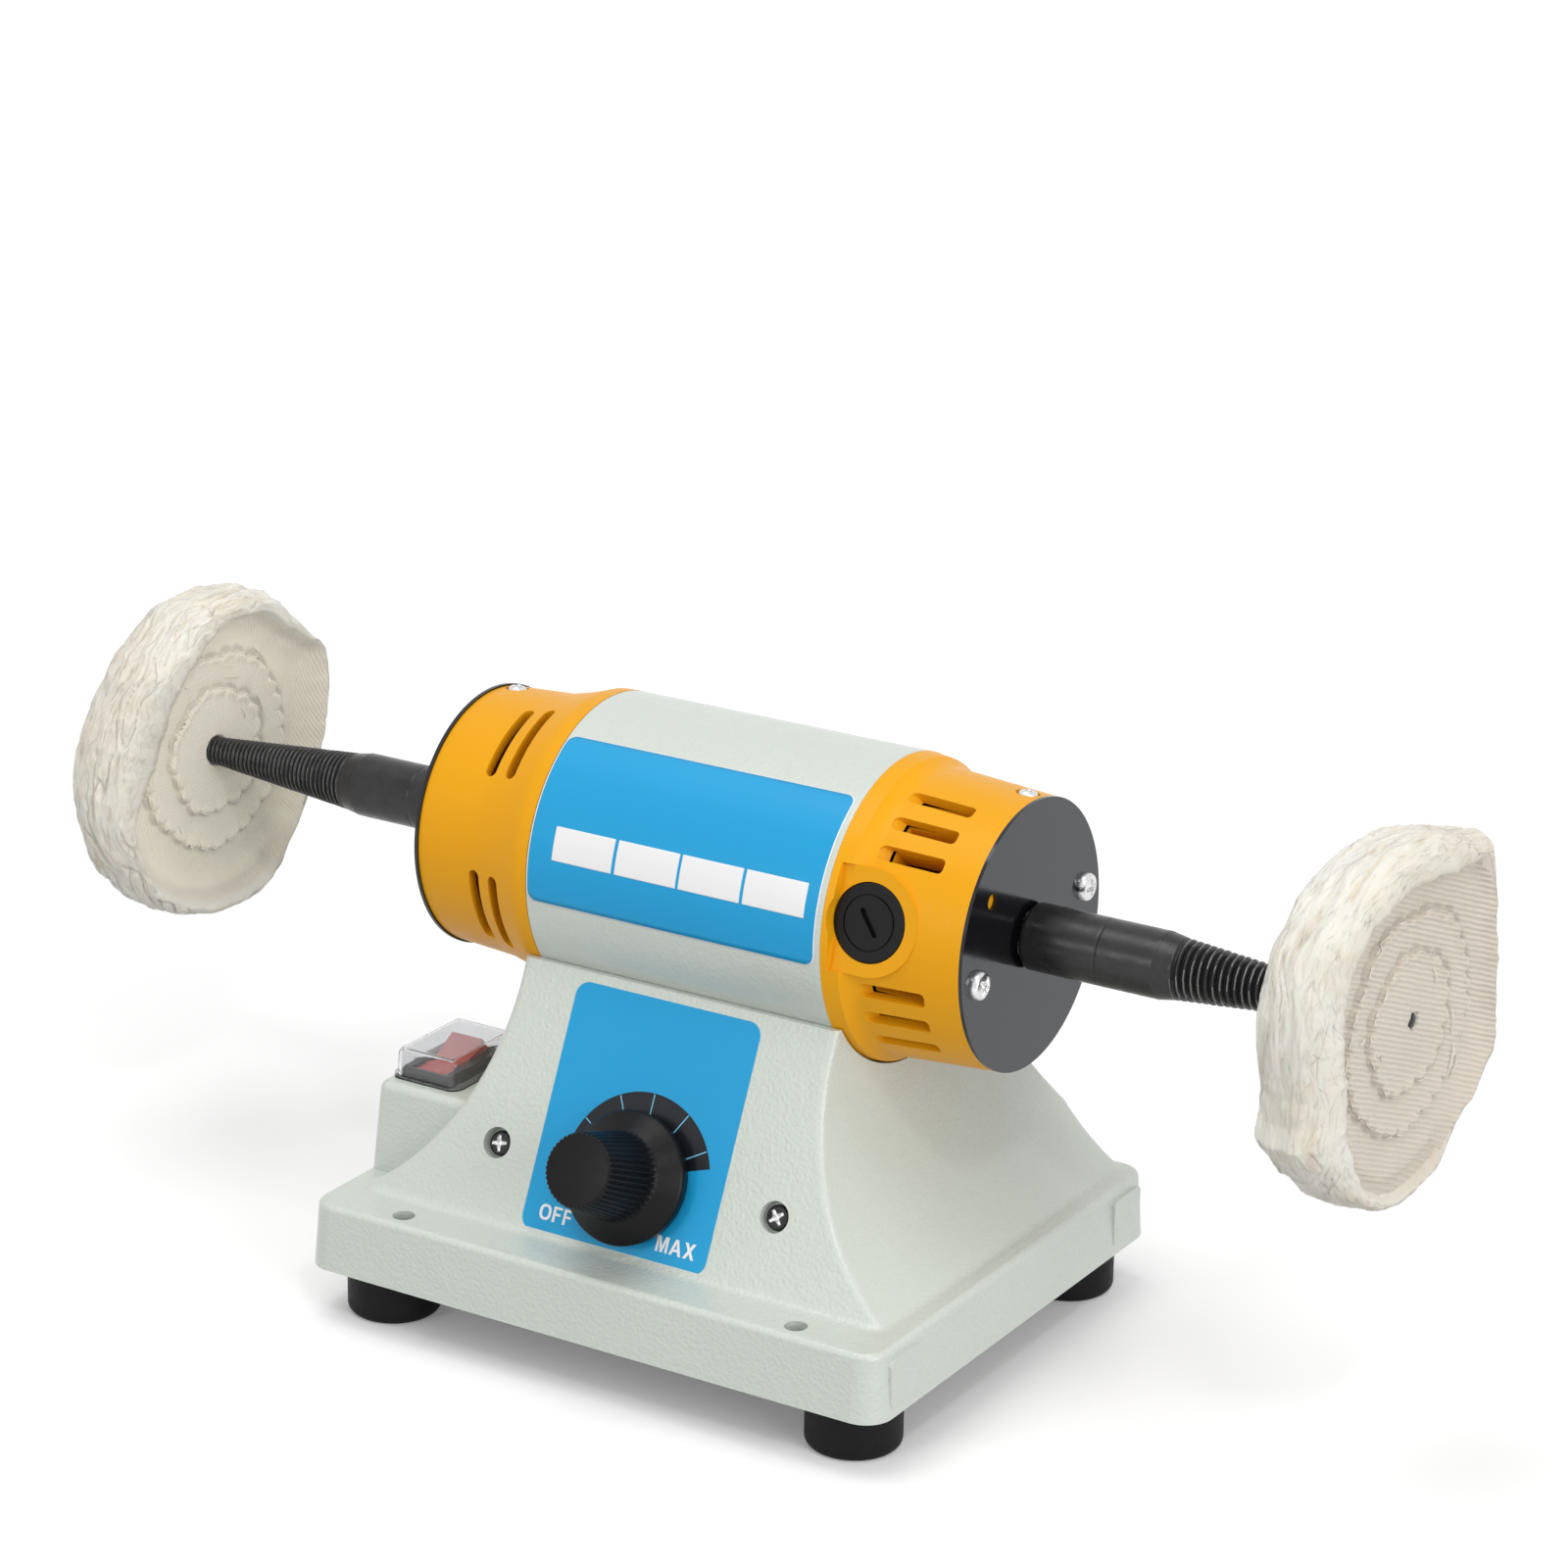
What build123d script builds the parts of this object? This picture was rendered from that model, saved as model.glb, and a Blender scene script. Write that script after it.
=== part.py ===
from build123d import *
from math import asin, cos, degrees, radians, sin, sqrt, tan
import os

os.makedirs("parts", exist_ok=True)

# Bench polishing machine, in millimetres. The origin lies on the bench under the middle of the
# base, +X runs along the shaft to the right, -Y faces the operator and +Z points up.

# Clearances
FIT = 0.15  # between fixed pieces that seat in one another
PRESS = 0.03  # round a bearing ring or a piece pressed on the shaft
SLIDE = 0.15  # round a carbon brush in its holder
RUNNING = 0.5  # round what turns or tilts

# Rubber feet, placed from the edges of the base
FOOT_R = 13.0
FOOT_H = 15.5
FOOT_EDGE_R = 2.5
FOOT_SIDE_INSET = 17.4
FOOT_FRONT_INSET = 18.4
FOOT_REAR_INSET = 16.5
FOOT_RECESS_R = 6.8
FOOT_RECESS_H = 8.0
FOOT_SCREW_R = 2.5
FOOT_WASHER_T = 1.0

# Base casting
BASE_W = 182.8
BASE_D = 150.8
SLAB_H = 18.9
SLAB_DRAFT = 4.5  # degrees
SLAB_CORNER_R = 8.0
SLAB_EDGE_R = 1.8
WALL = 5.0
COVER_T = 1.5
CORNER_POST_R = 7.0
PANEL_INSET = 16.6  # from the front of the base to the foot of the sloped panel
PANEL_ANGLE = 65.36  # degrees above the bench
PANEL_BLEND_R = 4.0
REAR_INSET = 3.9
REAR_RISE = 15.0  # upright part of the rear wall
REAR_ANGLE = 61.8
NECK_X = 49.9  # half the width of the pedestal's neck
NECK_RISE = 5.9  # upright part of the neck
SWEEP_INSET = 8.1  # from the end of the base to the foot of a swept side
RIDGE_R = 2.2
BOLT_END_INSET = 28.9
BOLT_INSET = 7.4
BOLT_HOLE_R = 3.1
BOLT_BOSS_R = 5.6
PAD_L = 15.0  # cast pads at the ends of the right side
PAD_PROUD = 0.7

# Switch pod on the left of the base
POD_SIDE_INSET = 1.9
POD_FRONT = -47.3
POD_REAR = -4.0
POD_H = 26.1
POD_DRAFT = 4.0
POD_EDGE_R = 2.8
POD_WALL = 3.4

# Shaft line and motor case
SHAFT_Y = 8.2
SHAFT_RISE = 107.9  # above the underside of the casting
CRADLE_DROP = 23.4  # top of the cradle below the shaft
CRADLE_T = 6.0
CASE_R = 42.0
CASE_T = 3.0
CASE_LEFT = 46.0
CASE_RIGHT = 47.0
CASE_BOLT_GAP = 9.0  # from the stator to the line of a case bolt
CASE_BOLT_R = 2.5
CASE_BOSS_R = 5.5

# End housings and plates
LEFT_HOUSING_L = 39.5
RIGHT_HOUSING_L = 38.5
LEFT_END_STEP = 5.6  # how far the left housing's end is under the drum's surface
RIGHT_END_STEP = 5.0
LEFT_KNEE_L = 20.0
LEFT_KNEE_STEP = 4.45
LEFT_FLANGE_L = 4.0
RIGHT_KNEE_L = 11.0
RIGHT_KNEE_STEP = 3.1
RIGHT_FLANGE_L = 4.8
HOUSING_T = 3.0
END_WALL_T = 5.5
SPIGOT_L = 4.0
PLATE_STEP = 5.0
PLATE_T = 1.0
PLATE_HOLE_R = 7.6
PLATE_SCREW_R = 2.0
PLATE_SCREW_INSET = 8.5  # from the edge of the plate
PLATE_SCREW_RISE = 5.0
SIGHT_HOLE_INSET = 15.0
SIGHT_HOLE_RISE = 15.9
SIGHT_HOLE_R = 2.2
LOCK_SCREW_R = 1.7
LOCK_SCREW_INSET = 4.3
LOCK_DEPTH = 1.9
LOCK_HEAD_H = 1.6
LOCK_SCREW_L = 7.0
LOCK_RECESS_R = 3.3
THROUGH_BOLT_R = 2.0
THROUGH_BOLT_INSET = 6.6  # from the drum's surface
SLOT_W = 3.4
SLOT_FROM_L = 14.4  # from the right end of the drum
SLOT_TO_L = 28.0
SLOT_SCOOP = 4.1
GROOVE_W = 2.8
GROOVE_INSETS = (19.2, 26.4)  # from the left end plate
LUG_R = 4.2
LUG_L = 7.0

# Ball bearings
BEARING_R = 14.0
BEARING_BORE_R = 6.0
BEARING_W = 8.0
BEARING_SPLIT_R = 8.8
HUB_R = 18.0
LIP_R = 10.0
LIP_T = 2.3

# Motor inside
ARMATURE_INSET = 20.5  # from the drum's surface
ARMATURE_L = 48.0
ARMATURE_SLOTS = 12
AIR_GAP = 0.6
STATOR_L = 54.0
YOKE_T = 6.0
POLE_SHOE_T = 3.8
POLE_ARC = 118.0
POLE_NECK_W = 22.0
COIL_OVERHANG = 7.0
WINDING_OVERHANG = 10.0
SHAFT_R = 7.4
FAN_GAP = 4.4  # round the fan inside the left housing
FAN_W = 10.0
FAN_BLADES = 9
FAN_X = 55.0
COMMUTATOR_R = 13.0
COMMUTATOR_L = 15.0

# Brushes, on a line tilted up from the front
BRUSH_ANGLE = 13.6
BRUSH_INSET = 26.9  # from the right end plate
BRUSH_SPACE = 2.5  # what the brush is shorter than its holder
BRUSH_SIZE = (8.0, 6.0)
BRUSH_GAP = 0.3
HOLDER_T = 1.2
HOLDER_FROM = 16.5
BOSS_SINK = 4.0  # face of a brush boss under the drum's surface
BOSS_R = 14.3
BOSS_FLAT = 9.6
BRUSH_TUBE_R = 9.5
CAP_R = 10.54
CAP_T = 2.9
CAP_PROUD = 0.2
PLUG_R = 6.6
PLUG_L = 3.15
SPRING_R = 2.3
SPRING_WIRE_R = 0.35
SPRING_TURNS = 5

# Spindles
SHANK_R = 9.1
SHANK_L = (42.0, 38.5)  # left, right
ROOT_GAP = 1.5
ROOT_R = 1.6
STEP_L = 4.0
TAPER_ROOT_R = 8.3
TAPER_L = (66.0, 65.5)
TAPER = 0.0845
TIP_L = 2.6
STUB_R = 5.0
STUB_L = 20.0

# Cloth buffs
BUFF_R = (48.5, 49.6)
BUFF_T = 18.5
BUFF_EDGE_R = 4.5
BUFF_CROWN = 0.8
BUFF_FACE_X = (183.0, 178.6)  # inner faces at the spindle
BUFF_TILT = (4.0, 6.0)
SEW_R = (18.0, 28.5)
BUFF_DISH = 1.2

# Speed control on the sloped panel
KNOB_UP = 21.3  # along the slope from the foot of the panel
KNOB_FACE_R = 10.0
KNOB_GRIP_R = 11.9
KNOB_SKIRT_R = 18.2
KNOB_LIFT = 1.2
KNOB_RIM_H = 3.8
KNOB_CONE_H = 8.0
KNOB_H = 27.8
KNOB_FLUTES = 44
FLUTE_R = 0.5
POT_R = 8.5
POT_L = 9.5
POT_BUSH_R = 3.5
POT_BUSH_L = 9.0
POT_SHAFT_R = 3.0
POT_NUT_R = 5.5
POT_NUT_T = 2.2
PANEL_SCREW_X = 44.3
PANEL_SCREW_R = 2.0
PANEL_HEAD_R = 3.6
PANEL_RECESS_R = 4.3
PANEL_RECESS_H = 3.0
BOARD_DEPTH = 16.0
BOARD_W = 98.0
BOARD_H = 30.0
BOARD_T = 1.6
STANDOFF_R = 4.0

# Rocker switch
SWITCH_SHARE = 0.595  # of the way from the swept side to the outer edge of the pod's top
SWITCH_Y = -26.64
ROCKER_W = 10.3
ROCKER_REACH = 9.06  # from the pivot to each end
ROCKER_MID_H = 3.0
ROCKER_TILT = 15.0
PIVOT_R = 1.0
PIVOT_L = 1.1
PIVOT_BELOW_BEZEL = 3.9
BEZEL_W = 17.0
BEZEL_L = 25.6
BEZEL_T = 3.0
SWITCH_BODY_W = 13.6
SWITCH_BODY_H = 16.0
COVER_SIZE = (21.0, 30.0)
COVER_Y = -25.7
COVER_H = 8.4
CLEAR_T = 0.8

# Cord gland in the rear wall
GLAND_X = -45.0
GLAND_UP = 22.0  # above the top of the foot slab
GLAND_R = 8.0
GLAND_HEAD_L = 12.5
GLAND_NECK_R = 6.0
CORD_BORE_R = 3.6
CORD_GRIP_R = 3.2

# Places worked out from the sizes above
SLAB_TOP = FOOT_H + SLAB_H
COVER_TOP = FOOT_H + COVER_T
SHAFT_Z = FOOT_H + SHAFT_RISE
PEDESTAL_TOP = SHAFT_Z - CRADLE_DROP
HOLLOW_TOP = SHAFT_Z - CASE_R - CRADLE_T
SWOOP_Z = PEDESTAL_TOP - NECK_RISE
SWEEP_RUN = BASE_W / 2 - SWEEP_INSET - NECK_X
SWOOP_R = (SWEEP_RUN**2 + (SWOOP_Z - SLAB_TOP) ** 2) / (2 * SWEEP_RUN)
PANEL_FOOT_Y = PANEL_INSET - BASE_D / 2
REAR_Y = BASE_D / 2 - REAR_INSET
REAR_Z = SLAB_TOP + REAR_RISE
POD_TOP = SLAB_TOP + POD_H
CASE_IN_R = CASE_R - CASE_T
CASE_BOLT_X = STATOR_L / 2 + CASE_BOLT_GAP
LEFT_END_R = CASE_R - LEFT_END_STEP
RIGHT_END_R = CASE_R - RIGHT_END_STEP
END_RADII = (LEFT_END_R, RIGHT_END_R)
PLATE_R = CASE_R - PLATE_STEP
PLATE_SCREW = Vector(PLATE_R - PLATE_SCREW_INSET, PLATE_SCREW_RISE)
PLATE_SCREWS = (PLATE_SCREW, -PLATE_SCREW)
SIGHT_HOLE = Vector(SIGHT_HOLE_INSET - PLATE_R, SIGHT_HOLE_RISE)
BOLT_CIRCLE_R = CASE_R - THROUGH_BOLT_INSET
ARMATURE_R = CASE_R - ARMATURE_INSET
FAN_R = LEFT_END_R - HOUSING_T - FAN_GAP
LEFT_END = CASE_LEFT + LEFT_HOUSING_L
RIGHT_END = CASE_RIGHT + RIGHT_HOUSING_L
ENDS = (LEFT_END, RIGHT_END)
SIDES = (("left", -1, 0), ("right", 1, 1))
STATOR_R = CASE_IN_R - FIT
POLE_BORE_R = ARMATURE_R + AIR_GAP
BRUSH_X = RIGHT_END - BRUSH_INSET
BOSS_FACE = CASE_R - BOSS_SINK
CAP_SEAT = BOSS_FACE + CAP_PROUD - CAP_T
PLUG_END = CAP_SEAT - PLUG_L
HOLDER_L = PLUG_END - FIT - HOLDER_FROM
BRUSH_L = HOLDER_L - BRUSH_SPACE
BRUSH_FROM = COMMUTATOR_R + BRUSH_GAP
FOOT_X = BASE_W / 2 - FOOT_SIDE_INSET
FOOT_POINTS = {
    "front_left": (-FOOT_X, FOOT_FRONT_INSET - BASE_D / 2),
    "front_right": (FOOT_X, FOOT_FRONT_INSET - BASE_D / 2),
    "rear_left": (-FOOT_X, BASE_D / 2 - FOOT_REAR_INSET),
    "rear_right": (FOOT_X, BASE_D / 2 - FOOT_REAR_INSET),
}
BOLT_X = BASE_W / 2 - BOLT_END_INSET
BOLT_POINTS = [(side * BOLT_X, BOLT_INSET - BASE_D / 2) for side in (-1, 1)]
POD_LEFT = POD_SIDE_INSET - BASE_W / 2
POD_RIGHT = -NECK_X
POD_TOP_EDGE = POD_LEFT + POD_H * tan(radians(POD_DRAFT))
POD_TOP_ROOT = sqrt(SWOOP_R**2 - (SWOOP_Z - POD_TOP) ** 2) - NECK_X - SWOOP_R
SWITCH_X = POD_TOP_ROOT + SWITCH_SHARE * (POD_TOP_EDGE - POD_TOP_ROOT)
PIVOT_Z = POD_TOP + BEZEL_T - PIVOT_BELOW_BEZEL

SHAFT = Axis((0, SHAFT_Y, SHAFT_Z), (1, 0, 0))
PROFILE = Plane(origin=(0, SHAFT_Y, SHAFT_Z), x_dir=(1, 0, 0), z_dir=(0, -1, 0))
PANEL = Plane(
    origin=(0, PANEL_FOOT_Y, SLAB_TOP),
    x_dir=(1, 0, 0),
    z_dir=(0, -sin(radians(PANEL_ANGLE)), cos(radians(PANEL_ANGLE))),
)
PANEL_SCREWS = [(side * PANEL_SCREW_X, KNOB_UP) for side in (-1, 1)]


def across(x):
    """Plane across the shaft at x: local x is +Y and local y is +Z."""
    return Plane(origin=(x, SHAFT_Y, SHAFT_Z), x_dir=(0, 1, 0), z_dir=(1, 0, 0))


def radial(x, angle):
    """Plane through the shaft at x whose normal points out, angle degrees above the front."""
    out = (0, -cos(radians(angle)), sin(radians(angle)))
    return Plane(origin=(x, SHAFT_Y, SHAFT_Z), x_dir=(1, 0, 0), z_dir=out)


def on_panel(x, up, depth=0.0):
    """Plane parallel to the sloped panel, depth below its face, centred on a point of it."""
    place = PANEL.offset(-depth)
    return Plane(origin=place.from_local_coords((x, up, 0)), x_dir=(1, 0, 0), z_dir=PANEL.z_dir)


def ring_sector(plane, inner, outer, start, size):
    """Flat sector of a ring on a plane, angles in degrees."""
    with BuildSketch(plane) as sector:
        with BuildLine():
            inside = CenterArc((0, 0), inner, start, size)
            outside = CenterArc((0, 0), outer, start, size)
            Line(inside @ 0, outside @ 0)
            Line(inside @ 1, outside @ 1)
        make_face()
    return sector.sketch


def turned(points):
    """Closed outline in the plane of the shaft, from (distance along it, radius) pairs."""
    with BuildSketch(PROFILE) as outline:
        with BuildLine():
            Polyline(*points, close=True)
        make_face()
    return outline.sketch


def front_outline(neck, radius, foot_z):
    """The pedestal seen from the front: two hollow arcs that run up into an upright neck."""
    centre_x = neck + radius
    sweep = degrees(asin((SWOOP_Z - foot_z) / radius))
    with BuildSketch(Plane.XZ) as outline:
        with BuildLine():
            right = CenterArc((centre_x, SWOOP_Z), radius, 180, sweep)
            left = CenterArc((-centre_x, SWOOP_Z), radius, 360 - sweep, sweep)
            Line(right @ 1, left @ 0)
            Polyline(left @ 1, (-neck, PEDESTAL_TOP), (neck, PEDESTAL_TOP), right @ 0)
        make_face()
    return outline.sketch


def side_outline(inset, foot_z, top_z):
    """The pedestal seen from the side, its walls moved in by inset."""
    front_run = inset / sin(radians(PANEL_ANGLE))
    rear_run = inset / sin(radians(REAR_ANGLE))
    front_tan = tan(radians(PANEL_ANGLE))
    rear_tan = tan(radians(REAR_ANGLE))
    knee_z = REAR_Z - (rear_run - inset) * rear_tan
    with BuildSketch(Plane.YZ) as outline:
        with BuildLine():
            Polyline(
                (PANEL_FOOT_Y + front_run + (foot_z - SLAB_TOP) / front_tan, foot_z),
                (PANEL_FOOT_Y + front_run + (top_z - SLAB_TOP) / front_tan, top_z),
                (REAR_Y - rear_run - (top_z - REAR_Z) / rear_tan, top_z),
                (REAR_Y - inset, knee_z),
                (REAR_Y - inset, foot_z),
                close=True,
            )
        make_face()
    return outline.sketch


# Base casting: the outer form of its pedestal and switch pod, then the hollows inside them
with BuildPart() as pedestal_form:
    extrude(front_outline(NECK_X, SWOOP_R, SLAB_TOP - 1), amount=BASE_D, both=True)
    extrude(
        side_outline(0, SLAB_TOP - 1, PEDESTAL_TOP),
        amount=BASE_W,
        both=True,
        mode=Mode.INTERSECT,
    )
    fillet(pedestal_form.edges().filter_by(Plane.XY, reverse=True), RIDGE_R)

with BuildPart() as pod_form:
    with BuildSketch(Plane.XY.offset(SLAB_TOP - 1)):
        with Locations(((POD_LEFT + POD_RIGHT) / 2, (POD_FRONT + POD_REAR) / 2)):
            Rectangle(POD_RIGHT - POD_LEFT, POD_REAR - POD_FRONT)
    extrude(amount=POD_H + 1, taper=POD_DRAFT)
    fillet(pod_form.edges().filter_by(Plane.XY, reverse=True), POD_EDGE_R)
    fillet(pod_form.edges().group_by(Axis.Z)[-1], POD_EDGE_R - 0.3)

with BuildPart() as hollow_form:
    extrude(
        front_outline(NECK_X - WALL, SWOOP_R + WALL, SLAB_TOP - WALL - 1),
        amount=BASE_D,
        both=True,
    )
    extrude(
        side_outline(WALL, SLAB_TOP - WALL - 1, HOLLOW_TOP),
        amount=BASE_W,
        both=True,
        mode=Mode.INTERSECT,
    )
    with BuildSketch(Plane.XY.offset(FOOT_H)):
        RectangleRounded(BASE_W - 2 * WALL, BASE_D - 2 * WALL, SLAB_CORNER_R - 3)
    extrude(amount=SLAB_H - WALL)
    with BuildSketch(Plane.XY.offset(COVER_TOP)):
        with Locations(((POD_LEFT + POD_WALL + SWITCH_X + BEZEL_W) / 2, (POD_FRONT + POD_REAR) / 2)):
            Rectangle(
                SWITCH_X + BEZEL_W - POD_LEFT - POD_WALL, POD_REAR - POD_FRONT - 2 * POD_WALL
            )
    extrude(amount=POD_TOP - POD_WALL - COVER_TOP)

REAR_WALL = Plane(
    origin=(GLAND_X, REAR_Y - (GLAND_UP - REAR_RISE) / tan(radians(REAR_ANGLE)), SLAB_TOP + GLAND_UP),
    x_dir=(-1, 0, 0),
    z_dir=(0, sin(radians(REAR_ANGLE)), cos(radians(REAR_ANGLE))),
)
SWITCH_CUT = (SWITCH_BODY_W + 2 * FIT, 2 * (ROCKER_REACH + ROCKER_MID_H) + 2 * FIT)

with BuildPart() as base_casting:
    with BuildSketch(Plane.XY.offset(FOOT_H)):
        RectangleRounded(BASE_W, BASE_D, SLAB_CORNER_R)
    extrude(amount=SLAB_H, taper=SLAB_DRAFT)
    fillet(base_casting.edges().group_by(Axis.Z)[-1], SLAB_EDGE_R)
    add(pedestal_form.part)
    flat_top = base_casting.edges().filter_by_position(Axis.Z, SLAB_TOP - 0.01, SLAB_TOP + 0.01)
    blend = flat_top.filter_by_position(Axis.Y, PANEL_FOOT_Y - 0.01, PANEL_FOOT_Y + 0.01)
    fillet(blend, PANEL_BLEND_R)
    add(pod_form.part)
    with BuildSketch(Plane.YZ.offset(BASE_W / 2 - 1.5)):
        with Locations(*[(s * (BASE_D / 2 - PAD_L), FOOT_H + SLAB_H / 2) for s in (-1, 1)]):
            RectangleRounded(PAD_L, SLAB_H - 6, 1.5)
    extrude(amount=1.5 + PAD_PROUD - SLAB_H / 2 * tan(radians(SLAB_DRAFT)))
    add(hollow_form.part, mode=Mode.SUBTRACT)
    with BuildSketch(across(-BASE_W / 2)):
        Circle(CASE_R + FIT)
    extrude(amount=BASE_W, mode=Mode.SUBTRACT)
    with BuildSketch(Plane.XY.offset(COVER_TOP)):
        with Locations(*FOOT_POINTS.values()):
            Circle(CORNER_POST_R)
        with Locations(*BOLT_POINTS):
            Circle(BOLT_BOSS_R)
    extrude(amount=SLAB_TOP - WALL / 2 - COVER_TOP)
    with BuildSketch(PANEL.offset(-BOARD_DEPTH)):
        with Locations(*PANEL_SCREWS):
            Circle(STANDOFF_R)
    extrude(amount=BOARD_DEPTH - WALL / 2)
    with BuildSketch(Plane.XY.offset(FOOT_H)):
        with Locations(*FOOT_POINTS.values()):
            Circle(FOOT_SCREW_R + FIT)
    extrude(amount=SLAB_H - WALL, mode=Mode.SUBTRACT)
    with BuildSketch(Plane.XY.offset(FOOT_H)):
        with Locations(*BOLT_POINTS):
            Circle(BOLT_HOLE_R)
    extrude(amount=SLAB_H + 1, mode=Mode.SUBTRACT)
    with BuildSketch(PANEL.offset(1)):
        with Locations(*PANEL_SCREWS):
            Circle(PANEL_SCREW_R + FIT)
        with Locations((0, KNOB_UP)):
            Circle(POT_BUSH_R + FIT)
    extrude(amount=-BOARD_DEPTH - 2, mode=Mode.SUBTRACT)
    with BuildSketch(PANEL.offset(1)):
        with Locations(*PANEL_SCREWS):
            Circle(PANEL_RECESS_R)
    extrude(amount=-PANEL_RECESS_H - 1, mode=Mode.SUBTRACT)
    with BuildSketch(Plane.XY.offset(POD_TOP - POD_WALL - 1)):
        with Locations((SWITCH_X, SWITCH_Y)):
            Rectangle(*SWITCH_CUT)
    extrude(amount=POD_WALL + 2, mode=Mode.SUBTRACT)
    with BuildSketch(Plane.XY.offset(HOLLOW_TOP - 1)):
        with Locations(*[(s * CASE_BOLT_X, SHAFT_Y) for s in (-1, 1)]):
            Circle(CASE_BOLT_R + FIT)
    extrude(amount=CRADLE_T + 3, mode=Mode.SUBTRACT)
    with BuildSketch(REAR_WALL.offset(1)):
        Circle(GLAND_NECK_R + FIT)
    extrude(amount=-WALL - 2, mode=Mode.SUBTRACT)
base_casting.part.label = "base_casting"
export_step(base_casting.part, "parts/base_casting.step")

# Bottom cover, screwed up with the feet
with BuildPart() as bottom_cover:
    with BuildSketch(Plane.XY.offset(FOOT_H)):
        RectangleRounded(
            BASE_W - 2 * WALL - 2 * FIT, BASE_D - 2 * WALL - 2 * FIT, SLAB_CORNER_R - 3 - FIT
        )
        with Locations(*FOOT_POINTS.values()):
            Circle(FOOT_SCREW_R + FIT, mode=Mode.SUBTRACT)
        with Locations(*BOLT_POINTS):
            Circle(BOLT_HOLE_R + 0.4, mode=Mode.SUBTRACT)
    extrude(amount=COVER_T)
bottom_cover.part.label = "bottom_cover"
export_step(bottom_cover.part, "parts/bottom_cover.step")

# Feet, each with a screw and washer in a recess from below
for place, (foot_x, foot_y) in FOOT_POINTS.items():
    with BuildPart() as foot:
        with BuildSketch(Plane((foot_x, foot_y, 0))):
            Circle(FOOT_R)
        extrude(amount=FOOT_H)
        fillet(foot.edges().group_by(Axis.Z)[0], FOOT_EDGE_R)
        with BuildSketch(Plane((foot_x, foot_y, 0))):
            Circle(FOOT_RECESS_R)
        extrude(amount=FOOT_RECESS_H, mode=Mode.SUBTRACT)
        with BuildSketch(Plane((foot_x, foot_y, 0))):
            Circle(FOOT_SCREW_R + FIT)
        extrude(amount=FOOT_H, mode=Mode.SUBTRACT)
    foot.part.label = f"foot_{place}"
    export_step(foot.part, f"parts/foot_{place}.step")

with BuildPart() as foot_washers:
    with BuildSketch(Plane.XY.offset(FOOT_RECESS_H - FOOT_WASHER_T)):
        with Locations(*FOOT_POINTS.values()):
            Circle(FOOT_RECESS_R - 2 * FIT)
            Circle(FOOT_SCREW_R + FIT, mode=Mode.SUBTRACT)
    extrude(amount=FOOT_WASHER_T)
foot_washers.part.label = "foot_washers"
export_step(foot_washers.part, "parts/foot_washers.step")

FOOT_HEAD_TOP = FOOT_RECESS_H - FOOT_WASHER_T
with BuildPart() as foot_screws:
    with BuildSketch(Plane.XY.offset(FOOT_HEAD_TOP - 3.5)):
        with Locations(*FOOT_POINTS.values()):
            Circle(1.8 * FOOT_SCREW_R)
    extrude(amount=3.5)
    chamfer(foot_screws.edges().group_by(Axis.Z)[0], 0.8)
    with BuildSketch(Plane.XY.offset(FOOT_HEAD_TOP)):
        with Locations(*FOOT_POINTS.values()):
            Circle(FOOT_SCREW_R)
    extrude(amount=SLAB_TOP - WALL - FOOT_HEAD_TOP - 1)
foot_screws.part.label = "foot_screws"
export_step(foot_screws.part, "parts/foot_screws.step")

# Motor case: a drum with two inner bosses for the bolts that come up through the cradle
with BuildPart() as motor_case:
    with BuildSketch(across(-CASE_LEFT)):
        Circle(CASE_R)
    extrude(amount=CASE_LEFT + CASE_RIGHT)
    fillet(motor_case.edges(), 0.5)
    with BuildSketch(across(-CASE_LEFT)):
        Circle(CASE_IN_R)
    extrude(amount=CASE_LEFT + CASE_RIGHT, mode=Mode.SUBTRACT)
    with BuildSketch(Plane.XY.offset(SHAFT_Z - CASE_IN_R - CASE_T / 2)):
        with Locations(*[(s * CASE_BOLT_X, SHAFT_Y) for s in (-1, 1)]):
            Circle(CASE_BOSS_R)
    extrude(amount=CASE_T / 2 + 4.5)
    with BuildSketch(Plane.XY.offset(SHAFT_Z - CASE_R - 1)):
        with Locations(*[(s * CASE_BOLT_X, SHAFT_Y) for s in (-1, 1)]):
            Circle(CASE_BOLT_R + FIT)
    extrude(amount=CASE_T + 7, mode=Mode.SUBTRACT)
motor_case.part.label = "motor_case"
export_step(motor_case.part, "parts/motor_case.step")

with BuildPart() as case_bolts:
    with BuildSketch(Plane.XY.offset(HOLLOW_TOP - 3.5)):
        with Locations(*[(s * CASE_BOLT_X, SHAFT_Y) for s in (-1, 1)]):
            RegularPolygon(1.8 * CASE_BOLT_R, 6)
    extrude(amount=3.5)
    with BuildSketch(Plane.XY.offset(HOLLOW_TOP)):
        with Locations(*[(s * CASE_BOLT_X, SHAFT_Y) for s in (-1, 1)]):
            Circle(CASE_BOLT_R)
    extrude(amount=CRADLE_T + CASE_T + 4)
case_bolts.part.label = "case_bolts"
export_step(case_bolts.part, "parts/case_bolts.step")


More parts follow.
